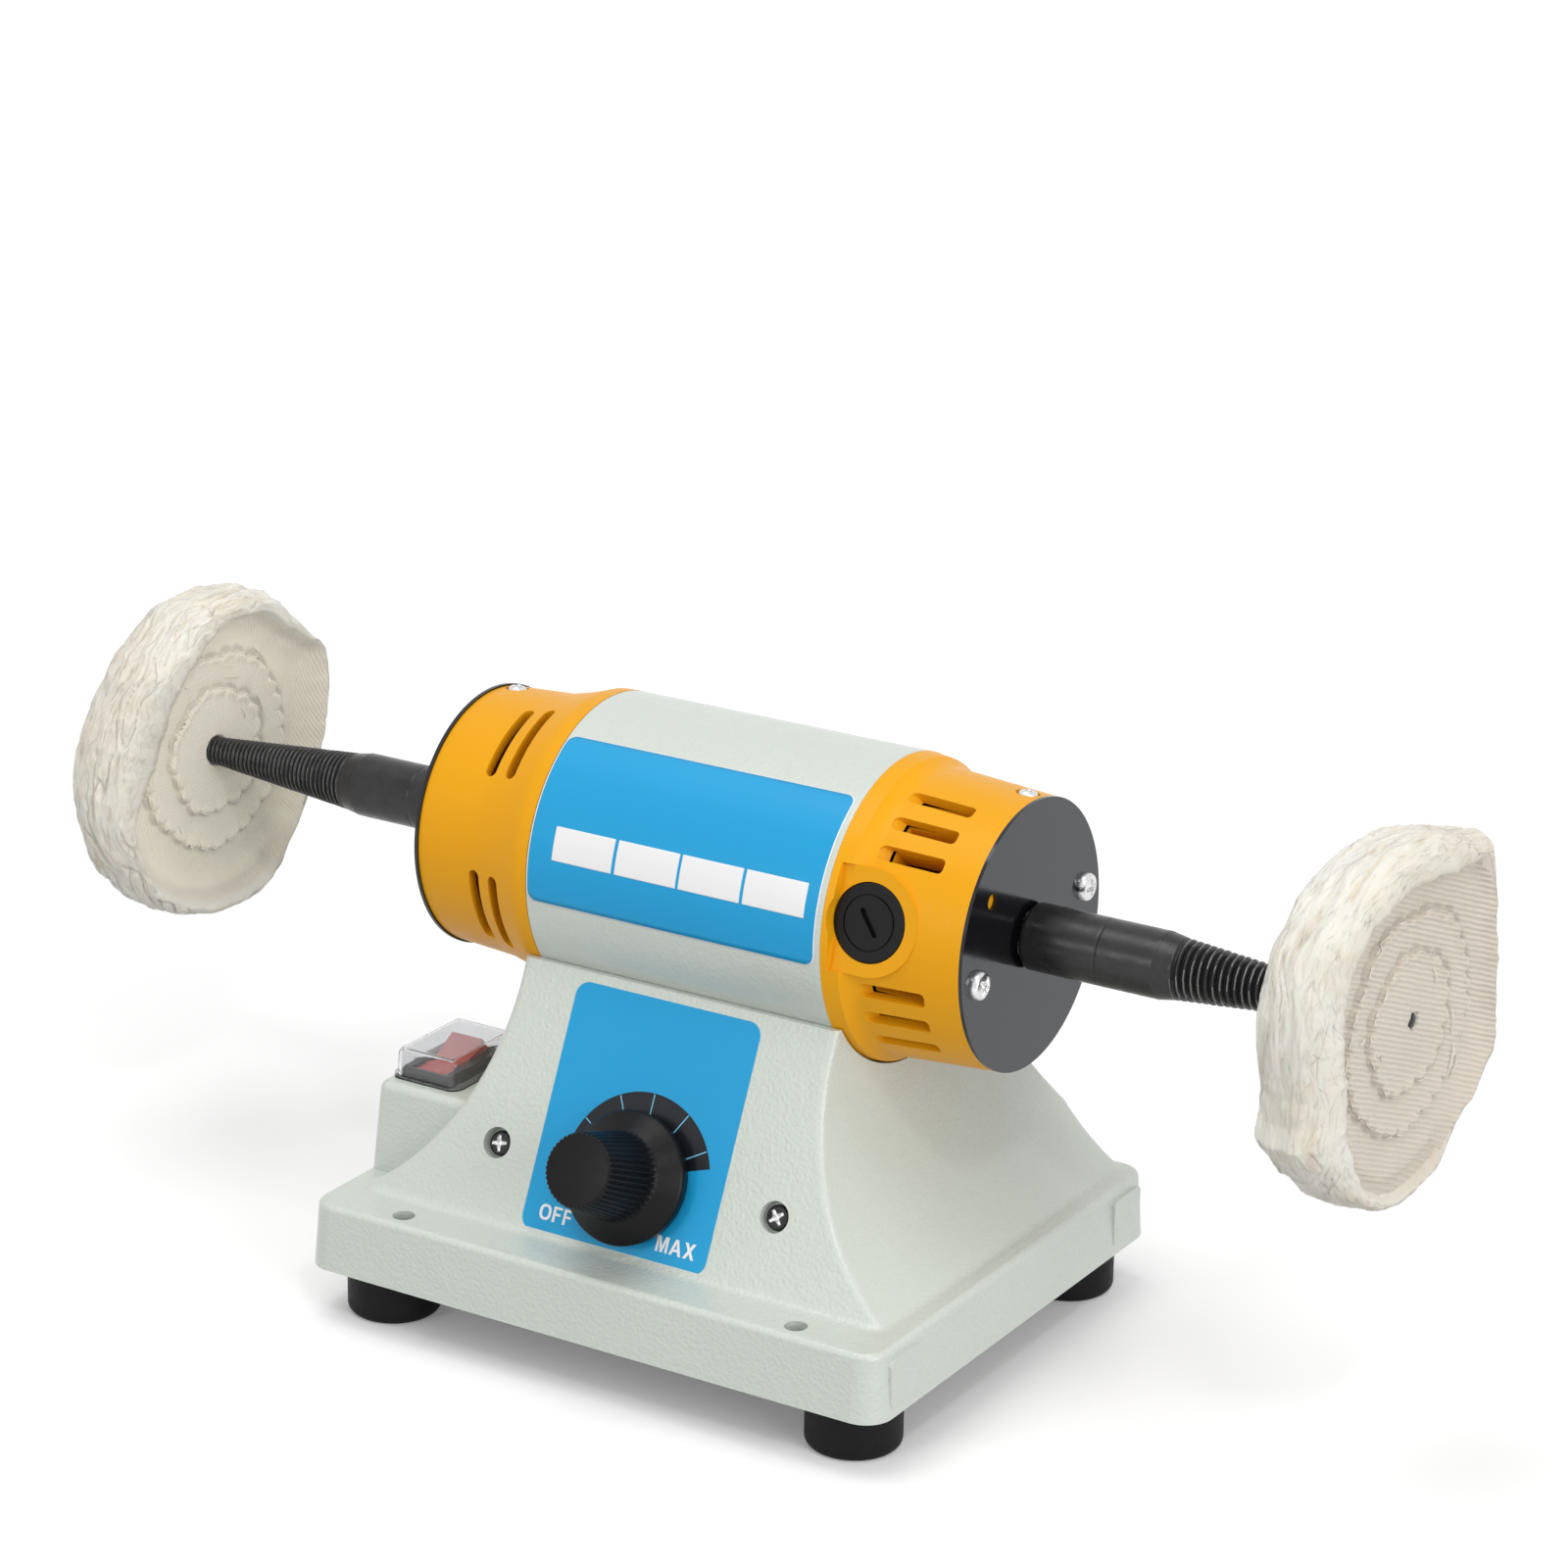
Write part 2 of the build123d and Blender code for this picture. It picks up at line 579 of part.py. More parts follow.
def housing_outline(case_end, end, shoulder_r, knee_x, knee_r, flange_x, flange_r, bend_r):
    """Half section of an end housing as (distance from the middle, radius), bearing seat included."""
    inner_knee = knee_r - HOUSING_T
    with BuildSketch(PROFILE) as outline:
        with BuildLine():
            Polyline((case_end, CASE_R), (flange_x, flange_r))
            ThreePointArc(
                (flange_x, flange_r),
                ((flange_x + knee_x) / 2, (flange_r + knee_r) / 2 - bend_r),
                (knee_x, knee_r),
            )
            Polyline(
                (knee_x, knee_r),
                (end, shoulder_r),
                (end, BEARING_R + PRESS),
                (end - BEARING_W - FIT, BEARING_R + PRESS),
                (end - BEARING_W - FIT, LIP_R),
                (end - BEARING_W - FIT - LIP_T, LIP_R),
                (end - BEARING_W - FIT - LIP_T, HUB_R),
                (end - END_WALL_T, HUB_R + 1),
                (end - END_WALL_T, shoulder_r - HOUSING_T),
                (knee_x, inner_knee),
                (case_end + 1, CASE_IN_R - HOUSING_T),
                (case_end - SPIGOT_L, CASE_IN_R - HOUSING_T),
                (case_end - SPIGOT_L, CASE_IN_R - FIT),
                (case_end, CASE_IN_R - FIT),
                (case_end, CASE_R),
            )
        make_face()
    return outline.sketch


BOLT_ANGLES = (BRUSH_ANGLE + 90, BRUSH_ANGLE - 90)
GROOVE_SPANS = ((39.0, 35.0), (-38.5, 34.5))  # first angle above the front, width

# Left end housing with its bearing seat and four pairs of exhaust slots
with BuildPart() as left_end_housing:
    section = housing_outline(
        CASE_LEFT,
        LEFT_END,
        LEFT_END_R,
        CASE_LEFT + LEFT_KNEE_L,
        CASE_R - LEFT_KNEE_STEP,
        CASE_LEFT + LEFT_FLANGE_L,
        CASE_R - 0.1,
        0.35,
    )
    revolve(mirror(section, about=Plane.YZ, mode=Mode.PRIVATE), axis=SHAFT)
    for angle in BOLT_ANGLES:
        with BuildSketch(across(-CASE_LEFT - LUG_L)):
            with PolarLocations(BOLT_CIRCLE_R, 1, start_angle=180 - angle):
                Circle(LUG_R)
        extrude(amount=LUG_L + SPIGOT_L)
    with BuildSketch(across(0)):
        Circle(CASE_R + 10)
        Circle(CASE_IN_R - FIT, mode=Mode.SUBTRACT)
    extrude(amount=-CASE_LEFT, mode=Mode.SUBTRACT)
    for inset in GROOVE_INSETS:
        for first, width in GROOVE_SPANS:
            for turn in (0, 180):
                groove = ring_sector(
                    across(-LEFT_END + inset - GROOVE_W / 2),
                    LEFT_END_R - 2 * HOUSING_T,
                    CASE_R + 2,
                    180 - first - width + turn,
                    width,
                )
                extrude(groove, amount=GROOVE_W, mode=Mode.SUBTRACT)


def boss_outline(plane):
    """Brush boss: round towards the end plate, with a flat side at the flange."""
    with BuildSketch(plane) as outline:
        Circle(BOSS_R)
        with Locations((-BOSS_FLAT / 2, 0)):
            Rectangle(BOSS_FLAT, 2 * BOSS_R)
        with Locations((-BOSS_FLAT - BOSS_R, 0)):
            Rectangle(2 * BOSS_R, 2 * BOSS_R + 2, mode=Mode.SUBTRACT)
    return outline.sketch


def lengthwise(angle):
    """Plane that holds the shaft line: local x is +X and local y points out at the angle."""
    turned_to = (0, -sin(radians(angle)), -cos(radians(angle)))
    return Plane(origin=(0, SHAFT_Y, SHAFT_Z), x_dir=(1, 0, 0), z_dir=turned_to)


BRUSHES = (("front", BRUSH_ANGLE), ("rear", BRUSH_ANGLE + 180))
SLOT_OFFSETS = (28.0, 41.5, 56.0)  # degrees either side of each brush
SLOT_FROM = CASE_RIGHT + SLOT_FROM_L
SLOT_TO = CASE_RIGHT + SLOT_TO_L
LOCK_ANGLE = 97.9

# Right end housing: brush bosses, scooped cooling slots and tie rod lugs
with BuildPart() as right_end_housing:
    section = housing_outline(
        CASE_RIGHT,
        RIGHT_END,
        RIGHT_END_R,
        CASE_RIGHT + RIGHT_KNEE_L,
        CASE_R - RIGHT_KNEE_STEP,
        CASE_RIGHT + RIGHT_FLANGE_L,
        CASE_R - 0.7,
        0.8,
    )
    revolve(section, axis=SHAFT)
    for angle in BOLT_ANGLES:
        with BuildSketch(across(CASE_RIGHT - SPIGOT_L)):
            with PolarLocations(BOLT_CIRCLE_R, 1, start_angle=180 - angle):
                Circle(LUG_R)
        extrude(amount=SPIGOT_L + LUG_L)
    with BuildSketch(across(0)):
        Circle(CASE_R + 10)
        Circle(CASE_IN_R - FIT, mode=Mode.SUBTRACT)
    extrude(amount=CASE_RIGHT, mode=Mode.SUBTRACT)
    for _, angle in BRUSHES:
        line = radial(BRUSH_X, angle)
        extrude(boss_outline(line.offset(BOSS_FACE - 8)), amount=8)
        extrude(boss_outline(line.offset(BOSS_FACE)), amount=8, mode=Mode.SUBTRACT)
        with BuildSketch(line.offset(HOLDER_FROM + 2.5)):
            Circle(BRUSH_TUBE_R)
        extrude(amount=CAP_SEAT - HOLDER_FROM - 2.5)
        with BuildSketch(line.offset(HOLDER_FROM - 1)):
            Rectangle(*[size + 2 * (SLIDE + HOLDER_T + FIT) for size in BRUSH_SIZE])
        extrude(amount=PLUG_END - HOLDER_FROM + 1, mode=Mode.SUBTRACT)
        with BuildSketch(line.offset(PLUG_END)):
            Circle(PLUG_R + FIT)
        extrude(amount=10, mode=Mode.SUBTRACT)
        with BuildSketch(line.offset(CAP_SEAT)):
            Circle(CAP_R + FIT)
        extrude(amount=10, mode=Mode.SUBTRACT)
        for swing in SLOT_OFFSETS:
            for way in (-1, 1):
                with BuildSketch(lengthwise(angle + way * swing)):
                    with BuildLine():
                        Polyline(
                            (SLOT_FROM - SLOT_SCOOP, CASE_R),
                            (SLOT_FROM - SLOT_SCOOP, RIGHT_END_R + 1.9),
                            (SLOT_FROM, RIGHT_END_R - HOUSING_T - 1),
                            (SLOT_TO, RIGHT_END_R - HOUSING_T - 1),
                            (SLOT_TO, CASE_R),
                            close=True,
                        )
                    make_face()
                extrude(amount=SLOT_W / 2, both=True, mode=Mode.SUBTRACT)

# What both housings share: rod holes in the lugs, plate screw holes and the lock screw
HOUSINGS = {"left": left_end_housing.part, "right": right_end_housing.part}
CASE_ENDS = (CASE_LEFT, CASE_RIGHT)
for side, sign, row in SIDES:
    with BuildPart() as housing:
        add(HOUSINGS[side])
        for angle in BOLT_ANGLES:
            with BuildSketch(across(sign * (CASE_ENDS[row] - SPIGOT_L - 1))):
                with PolarLocations(BOLT_CIRCLE_R, 1, start_angle=180 - angle):
                    Circle(THROUGH_BOLT_R + FIT)
            extrude(amount=sign * (SPIGOT_L + LUG_L), mode=Mode.SUBTRACT)
        with BuildSketch(across(sign * ENDS[row])):
            with Locations(*PLATE_SCREWS):
                Circle(PLATE_SCREW_R + FIT)
        extrude(amount=-sign * (END_WALL_T + 1), mode=Mode.SUBTRACT)
        lock = radial(sign * (ENDS[row] - LOCK_SCREW_INSET), LOCK_ANGLE)
        with BuildSketch(lock.offset(END_RADII[row] - LOCK_DEPTH)):
            Circle(LOCK_RECESS_R)
        extrude(amount=5, mode=Mode.SUBTRACT)
        with BuildSketch(lock.offset(END_RADII[row] - LOCK_DEPTH)):
            Circle(LOCK_SCREW_R + FIT)
        extrude(amount=-LOCK_SCREW_L - 1, mode=Mode.SUBTRACT)
    housing.part.label = f"{side}_end_housing"
    export_step(housing.part, f"parts/{side}_end_housing.step")

    with BuildPart() as end_plate:
        with BuildSketch(across(sign * ENDS[row])):
            Circle(PLATE_R)
            Circle(PLATE_HOLE_R, mode=Mode.SUBTRACT)
            with Locations(*PLATE_SCREWS):
                Circle(PLATE_SCREW_R + FIT, mode=Mode.SUBTRACT)
            with Locations(SIGHT_HOLE):
                Circle(SIGHT_HOLE_R, mode=Mode.SUBTRACT)
        extrude(amount=sign * PLATE_T)
    end_plate.part.label = f"{side}_end_plate"
    export_step(end_plate.part, f"parts/{side}_end_plate.step")

    near, far = ENDS[row] - BEARING_W - FIT / 2, ENDS[row] - FIT / 2
    with BuildPart() as outer_ring:
        ring = turned(
            [
                (sign * near, BEARING_R),
                (sign * far, BEARING_R),
                (sign * far, BEARING_R - 2.5),
                (sign * (far - 0.5), BEARING_R - 2.5),
                (sign * (far - 0.5), BEARING_SPLIT_R + 0.2),
                (sign * (near + 0.5), BEARING_SPLIT_R + 0.2),
                (sign * (near + 0.5), BEARING_R - 2.5),
                (sign * near, BEARING_R - 2.5),
            ]
        )
        revolve(ring, axis=SHAFT)
    outer_ring.part.label = f"{side}_bearing_outer_ring"
    export_step(outer_ring.part, f"parts/{side}_bearing_outer_ring.step")

    with BuildPart() as inner_ring:
        with BuildSketch(across(sign * near)):
            Circle(BEARING_SPLIT_R - 0.2)
            Circle(BEARING_BORE_R, mode=Mode.SUBTRACT)
        extrude(amount=sign * BEARING_W)
    inner_ring.part.label = f"{side}_bearing_inner_ring"
    export_step(inner_ring.part, f"parts/{side}_bearing_inner_ring.step")

with BuildPart() as plate_screws:
    for side, sign, row in SIDES:
        for spot in PLATE_SCREWS:
            with BuildSketch(across(sign * (ENDS[row] + PLATE_T))):
                with Locations(spot):
                    Circle(2 * PLATE_SCREW_R)
            extrude(amount=sign * 2.6)
            with BuildSketch(across(sign * (ENDS[row] + PLATE_T))):
                with Locations(spot):
                    Circle(PLATE_SCREW_R)
            extrude(amount=-sign * (PLATE_T + END_WALL_T - 0.5))
    heads = plate_screws.edges().filter_by(GeomType.CIRCLE).group_by(SortBy.RADIUS)[-1]
    fillet(heads.group_by(Axis.X)[0] + heads.group_by(Axis.X)[-1], 1.6)
plate_screws.part.label = "plate_screws"
export_step(plate_screws.part, "parts/plate_screws.step")

with BuildPart() as lock_screws:
    for side, sign, row in SIDES:
        lock = radial(sign * (ENDS[row] - LOCK_SCREW_INSET), LOCK_ANGLE)
        with BuildSketch(lock.offset(END_RADII[row] - LOCK_DEPTH)):
            Circle(LOCK_RECESS_R - 0.4)
        extrude(amount=LOCK_HEAD_H)
        with BuildSketch(lock.offset(END_RADII[row] - LOCK_DEPTH)):
            Circle(LOCK_SCREW_R)
        extrude(amount=-LOCK_SCREW_L)
lock_screws.part.label = "lock_screws"
export_step(lock_screws.part, "parts/lock_screws.step")

with BuildPart() as tie_rods:
    for angle in BOLT_ANGLES:
        with BuildSketch(across(2 - CASE_LEFT - LUG_L)):
            with PolarLocations(BOLT_CIRCLE_R, 1, start_angle=180 - angle):
                Circle(THROUGH_BOLT_R)
        extrude(amount=CASE_LEFT + CASE_RIGHT + 2 * LUG_L - 4)
tie_rods.part.label = "tie_rods"
export_step(tie_rods.part, "parts/tie_rods.step")

# Stator: round yoke with two poles, a coil round the neck of each
POLE_DIRECTION = 90 - BRUSH_ANGLE
SHOE_R = POLE_BORE_R + POLE_SHOE_T
with BuildPart() as stator_core:
    with BuildSketch(across(-STATOR_L / 2)):
        Circle(STATOR_R)
        Circle(STATOR_R - YOKE_T, mode=Mode.SUBTRACT)
        with PolarLocations((SHOE_R + STATOR_R - YOKE_T) / 2, 2, start_angle=POLE_DIRECTION):
            Rectangle(STATOR_R - YOKE_T - SHOE_R + 3, POLE_NECK_W)
        with PolarLocations(BOLT_CIRCLE_R, 2, start_angle=POLE_DIRECTION):
            Circle(THROUGH_BOLT_R + FIT, mode=Mode.SUBTRACT)
    extrude(amount=STATOR_L)
    for turn in (0, 180):
        shoe = ring_sector(
            across(-STATOR_L / 2),
            POLE_BORE_R,
            SHOE_R,
            POLE_DIRECTION - POLE_ARC / 2 + turn,
            POLE_ARC,
        )
        extrude(shoe, amount=STATOR_L)
    with BuildSketch(across(-STATOR_L / 2)):
        Circle(POLE_BORE_R)
    extrude(amount=STATOR_L, mode=Mode.SUBTRACT)
stator_core.part.label = "stator_core"
export_step(stator_core.part, "parts/stator_core.step")

with BuildPart() as field_coils:
    for turn in (0, 180):
        coil = ring_sector(
            across(-STATOR_L / 2 - COIL_OVERHANG),
            SHOE_R + 0.3,
            STATOR_R - YOKE_T - 0.3,
            POLE_DIRECTION - POLE_ARC / 2 + turn,
            POLE_ARC,
        )
        extrude(coil, amount=STATOR_L + 2 * COIL_OVERHANG)
    with BuildSketch(across(-STATOR_L / 2 - FIT)):
        with PolarLocations((SHOE_R + STATOR_R - YOKE_T) / 2, 2, start_angle=POLE_DIRECTION):
            Rectangle(STATOR_R - SHOE_R + 4, POLE_NECK_W + 0.6)
    extrude(amount=STATOR_L + 2 * FIT, mode=Mode.SUBTRACT)
field_coils.part.label = "field_coils"
export_step(field_coils.part, "parts/field_coils.step")

# Rotor
ROOTS = tuple(end + PLATE_T + ROOT_GAP for end in ENDS)
with BuildPart() as motor_shaft:
    shoulders = [end - BEARING_W - FIT for end in ENDS]
    journal_r = BEARING_BORE_R - PRESS
    half = []
    for sign, row in ((-1, 0), (1, 1)):
        half.append(
            [
                (sign * shoulders[row], SHAFT_R),
                (sign * shoulders[row], journal_r),
                (sign * (ROOTS[row] - 0.2), journal_r),
                (sign * (ROOTS[row] - 0.2), STUB_R),
                (sign * (ROOTS[row] + STUB_L - 0.5), STUB_R),
                (sign * (ROOTS[row] + STUB_L - 0.5), 0),
            ]
        )
    revolve(turned(half[0][::-1] + half[1]), axis=SHAFT)
motor_shaft.part.label = "motor_shaft"
export_step(motor_shaft.part, "parts/motor_shaft.step")

SLOT_FLOOR = ARMATURE_R - 8.0
SLOT_MOUTH = 2.6
with BuildPart() as armature_core:
    with BuildSketch(across(-ARMATURE_L / 2)):
        Circle(ARMATURE_R)
        Circle(SHAFT_R + PRESS, mode=Mode.SUBTRACT)
        with PolarLocations((SLOT_FLOOR + ARMATURE_R) / 2 + 1, ARMATURE_SLOTS):
            Rectangle(ARMATURE_R - SLOT_FLOOR + 2, SLOT_MOUTH, mode=Mode.SUBTRACT)
    extrude(amount=ARMATURE_L)
armature_core.part.label = "armature_core"
export_step(armature_core.part, "parts/armature_core.step")

with BuildPart() as armature_winding:
    with BuildSketch(across(-ARMATURE_L / 2 - 1)):
        with PolarLocations((SLOT_FLOOR + ARMATURE_R) / 2, ARMATURE_SLOTS):
            Rectangle(ARMATURE_R - SLOT_FLOOR - 1, SLOT_MOUTH - 2 * FIT)
    extrude(amount=ARMATURE_L + 2)
    for sign in (-1, 1):
        start, end = sign * ARMATURE_L / 2, sign * (ARMATURE_L / 2 + WINDING_OVERHANG)
        bulge = turned(
            [
                (start, SHAFT_R + 0.6),
                (start, ARMATURE_R - 1),
                ((start + end) / 2, ARMATURE_R - 1.5),
                (end, ARMATURE_R - 6),
                (end, SHAFT_R + 0.6),
            ]
        )
        revolve(bulge, axis=SHAFT)
armature_winding.part.label = "armature_winding"
export_step(armature_winding.part, "parts/armature_winding.step")

with BuildPart() as commutator:
    with BuildSketch(across(BRUSH_X - COMMUTATOR_L / 2)):
        Circle(COMMUTATOR_R)
        with PolarLocations(COMMUTATOR_R, 2 * ARMATURE_SLOTS):
            Rectangle(1.6, 0.6, mode=Mode.SUBTRACT)
    extrude(amount=COMMUTATOR_L)
    with BuildSketch(across(BRUSH_X - COMMUTATOR_L / 2)):
        Circle(COMMUTATOR_R + 2)
    extrude(amount=-2.5)
    with BuildSketch(across(BRUSH_X - COMMUTATOR_L / 2 - 2.5)):
        Circle(SHAFT_R + PRESS)
    extrude(amount=COMMUTATOR_L + 2.5, mode=Mode.SUBTRACT)
commutator.part.label = "commutator"
export_step(commutator.part, "parts/commutator.step")

FAN_BACK_T = 1.6
FAN_HUB_R = 11.0
with BuildPart() as cooling_fan:
    with BuildSketch(across(-FAN_X)):
        Circle(FAN_R)
    extrude(amount=-FAN_BACK_T)
    with BuildSketch(across(-FAN_X)):
        Circle(FAN_HUB_R)
        with PolarLocations((FAN_HUB_R + FAN_R) / 2 - 1, FAN_BLADES):
            Rectangle(FAN_R - FAN_HUB_R, 1.4, rotation=18)
    extrude(amount=-FAN_W)
    with BuildSketch(across(-FAN_X)):
        Circle(SHAFT_R + PRESS)
    extrude(amount=-FAN_W, mode=Mode.SUBTRACT)
cooling_fan.part.label = "cooling_fan"
export_step(cooling_fan.part, "parts/cooling_fan.step")


def taper_r(row, x):
    """Radius of a spindle's taper at distance x from the middle."""
    return TAPER_ROOT_R - TAPER * (x - ROOTS[row] - SHANK_L[row] - STEP_L)


# Spindles and the buffs screwed on to them
for side, sign, row in SIDES:
    step = ROOTS[row] + SHANK_L[row]
    tip = step + STEP_L + TAPER_L[row]
    with BuildPart() as spindle:
        with BuildSketch(PROFILE):
            with BuildLine():
                root = sign * ROOTS[row]
                Polyline((root, 0), (root, SHANK_R - ROOT_R))
                ThreePointArc(
                    (root, SHANK_R - ROOT_R),
                    (root + sign * 0.293 * ROOT_R, SHANK_R - 0.293 * ROOT_R),
                    (root + sign * ROOT_R, SHANK_R),
                )
                Polyline(
                    (root + sign * ROOT_R, SHANK_R),
                    (sign * step, SHANK_R),
                    (sign * (step + STEP_L), TAPER_ROOT_R),
                    (sign * (tip - TIP_L), taper_r(row, tip - TIP_L)),
                    (sign * tip, 0.8),
                    (sign * tip, 0),
                    (root, 0),
                )
            make_face()
        revolve(axis=SHAFT)
        with BuildSketch(across(root)):
            Circle(STUB_R + PRESS)
        extrude(amount=sign * STUB_L, mode=Mode.SUBTRACT)
    spindle.part.label = f"{side}_spindle"
    export_step(spindle.part, f"parts/{side}_spindle.step")

    tilt = radians(BUFF_TILT[row])
    disc_line = (cos(tilt), -sin(tilt), 0)
    hub = (sign * BUFF_FACE_X[row], SHAFT_Y, SHAFT_Z)
    section_plane = Plane(origin=hub, x_dir=disc_line, z_dir=(-sin(tilt), -cos(tilt), 0))
    thick, edge = sign * BUFF_T, BUFF_R[row]
    shoulder = edge - BUFF_EDGE_R
    near_rim, far_rim = sign * BUFF_EDGE_R, thick - sign * BUFF_EDGE_R
    bend = 0.293 * BUFF_EDGE_R
    sew_in, sew_out = SEW_R
    dish = sign * BUFF_DISH
    with BuildPart() as buff:
        with BuildSketch(section_plane):
            with BuildLine():
                ThreePointArc((dish, 0), (dish / 3, sew_in / 2), (dish, sew_in))
                ThreePointArc((dish, sew_in), (dish / 3, (sew_in + sew_out) / 2), (dish, sew_out))
                ThreePointArc((dish, sew_out), (0, (sew_out + shoulder) / 2), (dish, shoulder))
                ThreePointArc(
                    (dish, shoulder),
                    (dish + sign * bend, edge - BUFF_CROWN - bend),
                    (near_rim, edge - BUFF_CROWN),
                )
                ThreePointArc(
                    (near_rim, edge - BUFF_CROWN), (thick / 2, edge), (far_rim, edge - BUFF_CROWN)
                )
                ThreePointArc(
                    (far_rim, edge - BUFF_CROWN),
                    (thick - dish - sign * bend, edge - BUFF_CROWN - bend),
                    (thick - dish, shoulder),
                )
                ThreePointArc(
                    (thick - dish, shoulder),
                    (thick, (sew_out + shoulder) / 2),
                    (thick - dish, sew_out),
                )
                ThreePointArc(
                    (thick - dish, sew_out),
                    (thick - dish / 3, (sew_in + sew_out) / 2),
                    (thick - dish, sew_in),
                )
                ThreePointArc(
                    (thick - dish, sew_in), (thick - dish / 3, sew_in / 2), (thick - dish, 0)
                )
                Line((thick - dish, 0), (dish, 0))
            make_face()
        revolve(axis=Axis(hub, disc_line))
        bore_end = tip + 20
        bore = turned(
            [
                (sign * step, 0),
                (sign * step, taper_r(row, step) + FIT),
                (sign * (tip - TIP_L), taper_r(row, tip - TIP_L) + FIT),
                (sign * bore_end, taper_r(row, tip - TIP_L) + FIT),
                (sign * bore_end, 0),
            ]
        )
        revolve(bore, axis=SHAFT, mode=Mode.SUBTRACT)
    buff.part.label = f"{side}_buff"
    export_step(buff.part, f"parts/{side}_buff.step")

# Brushes with their holders, springs and screwed caps
for place, angle in BRUSHES:
    line = radial(BRUSH_X, angle)
    with BuildPart() as brush_holder:
        with BuildSketch(line.offset(HOLDER_FROM)):
            Rectangle(*[size + 2 * (SLIDE + HOLDER_T) for size in BRUSH_SIZE])
            Rectangle(*[size + 2 * SLIDE for size in BRUSH_SIZE], mode=Mode.SUBTRACT)
        extrude(amount=HOLDER_L)
    brush_holder.part.label = f"{place}_brush_holder"
    export_step(brush_holder.part, f"parts/{place}_brush_holder.step")

    with BuildPart() as carbon_brush:
        with BuildSketch(line.offset(BRUSH_FROM - 2)):
            Rectangle(*BRUSH_SIZE)
        extrude(amount=BRUSH_L + 2)
        with BuildSketch(across(BRUSH_X - BRUSH_SIZE[0])):
            Circle(BRUSH_FROM)
        extrude(amount=2 * BRUSH_SIZE[0], mode=Mode.SUBTRACT)
    carbon_brush.part.label = f"{place}_carbon_brush"
    export_step(carbon_brush.part, f"parts/{place}_carbon_brush.step")

    spring_from = BRUSH_FROM + BRUSH_L + SPRING_WIRE_R + 0.1
    spring_l = PLUG_END - spring_from - SPRING_WIRE_R - 0.1
    with BuildPart() as brush_spring:
        with BuildLine():
            coil = Helix(
                spring_l / SPRING_TURNS,
                spring_l,
                SPRING_R,
                center=line.from_local_coords((0, 0, spring_from)),
                direction=line.z_dir,
            )
        with BuildSketch(Plane(origin=coil @ 0, z_dir=coil % 0)):
            RegularPolygon(SPRING_WIRE_R, 4)
        sweep(is_frenet=True)
    brush_spring.part.label = f"{place}_brush_spring"
    export_step(brush_spring.part, f"parts/{place}_brush_spring.step")

    with BuildPart() as brush_cap:
        with BuildSketch(line.offset(CAP_SEAT)):
            Circle(CAP_R)
        extrude(amount=CAP_T)
        fillet(brush_cap.edges().group_by(Axis(line.origin, line.z_dir))[-1], 0.6)
        with BuildSketch(line.offset(PLUG_END)):
            Circle(PLUG_R)
        extrude(amount=CAP_SEAT - PLUG_END)
        with BuildSketch(line.offset(CAP_SEAT + CAP_T)):
            Circle(7.6)
            Circle(7.1, mode=Mode.SUBTRACT)
        extrude(amount=-0.5, mode=Mode.SUBTRACT)
        with BuildSketch(line.offset(CAP_SEAT + CAP_T)):
            SlotOverall(8.6, 1.6, rotation=100)
        extrude(amount=-1.5, mode=Mode.SUBTRACT)
    brush_cap.part.label = f"{place}_brush_cap"
    export_step(brush_cap.part, f"parts/{place}_brush_cap.step")

# Speed control: potentiometer behind the panel, nut and knob in front of it
pot_centre = on_panel(0, KNOB_UP)
with BuildPart() as potentiometer_body:
    with BuildSketch(pot_centre.offset(-WALL - FIT)):
        Circle(POT_R)
    extrude(amount=-POT_L)
    with BuildSketch(pot_centre.offset(-WALL - FIT)):
        Circle(POT_BUSH_R)
    extrude(amount=POT_BUSH_L)
    with BuildSketch(pot_centre.offset(POT_BUSH_L)):
        Circle(POT_SHAFT_R + 0.08)
    extrude(amount=-POT_BUSH_L - WALL - POT_L + 1, mode=Mode.SUBTRACT)
potentiometer_body.part.label = "potentiometer_body"
export_step(potentiometer_body.part, "parts/potentiometer_body.step")

with BuildPart() as potentiometer_nut:
    with BuildSketch(pot_centre.offset(0.3)):
        RegularPolygon(POT_NUT_R, 6)
        Circle(POT_BUSH_R + FIT, mode=Mode.SUBTRACT)
    extrude(amount=POT_NUT_T)
potentiometer_nut.part.label = "potentiometer_nut"
export_step(potentiometer_nut.part, "parts/potentiometer_nut.step")

SHAFT_END_LIFT = 18.0
with BuildPart() as potentiometer_shaft:
    with BuildSketch(pot_centre.offset(SHAFT_END_LIFT)):
        Circle(POT_SHAFT_R)
    extrude(amount=-SHAFT_END_LIFT - WALL - POT_L + 2)
potentiometer_shaft.part.label = "potentiometer_shaft"
export_step(potentiometer_shaft.part, "parts/potentiometer_shaft.step")

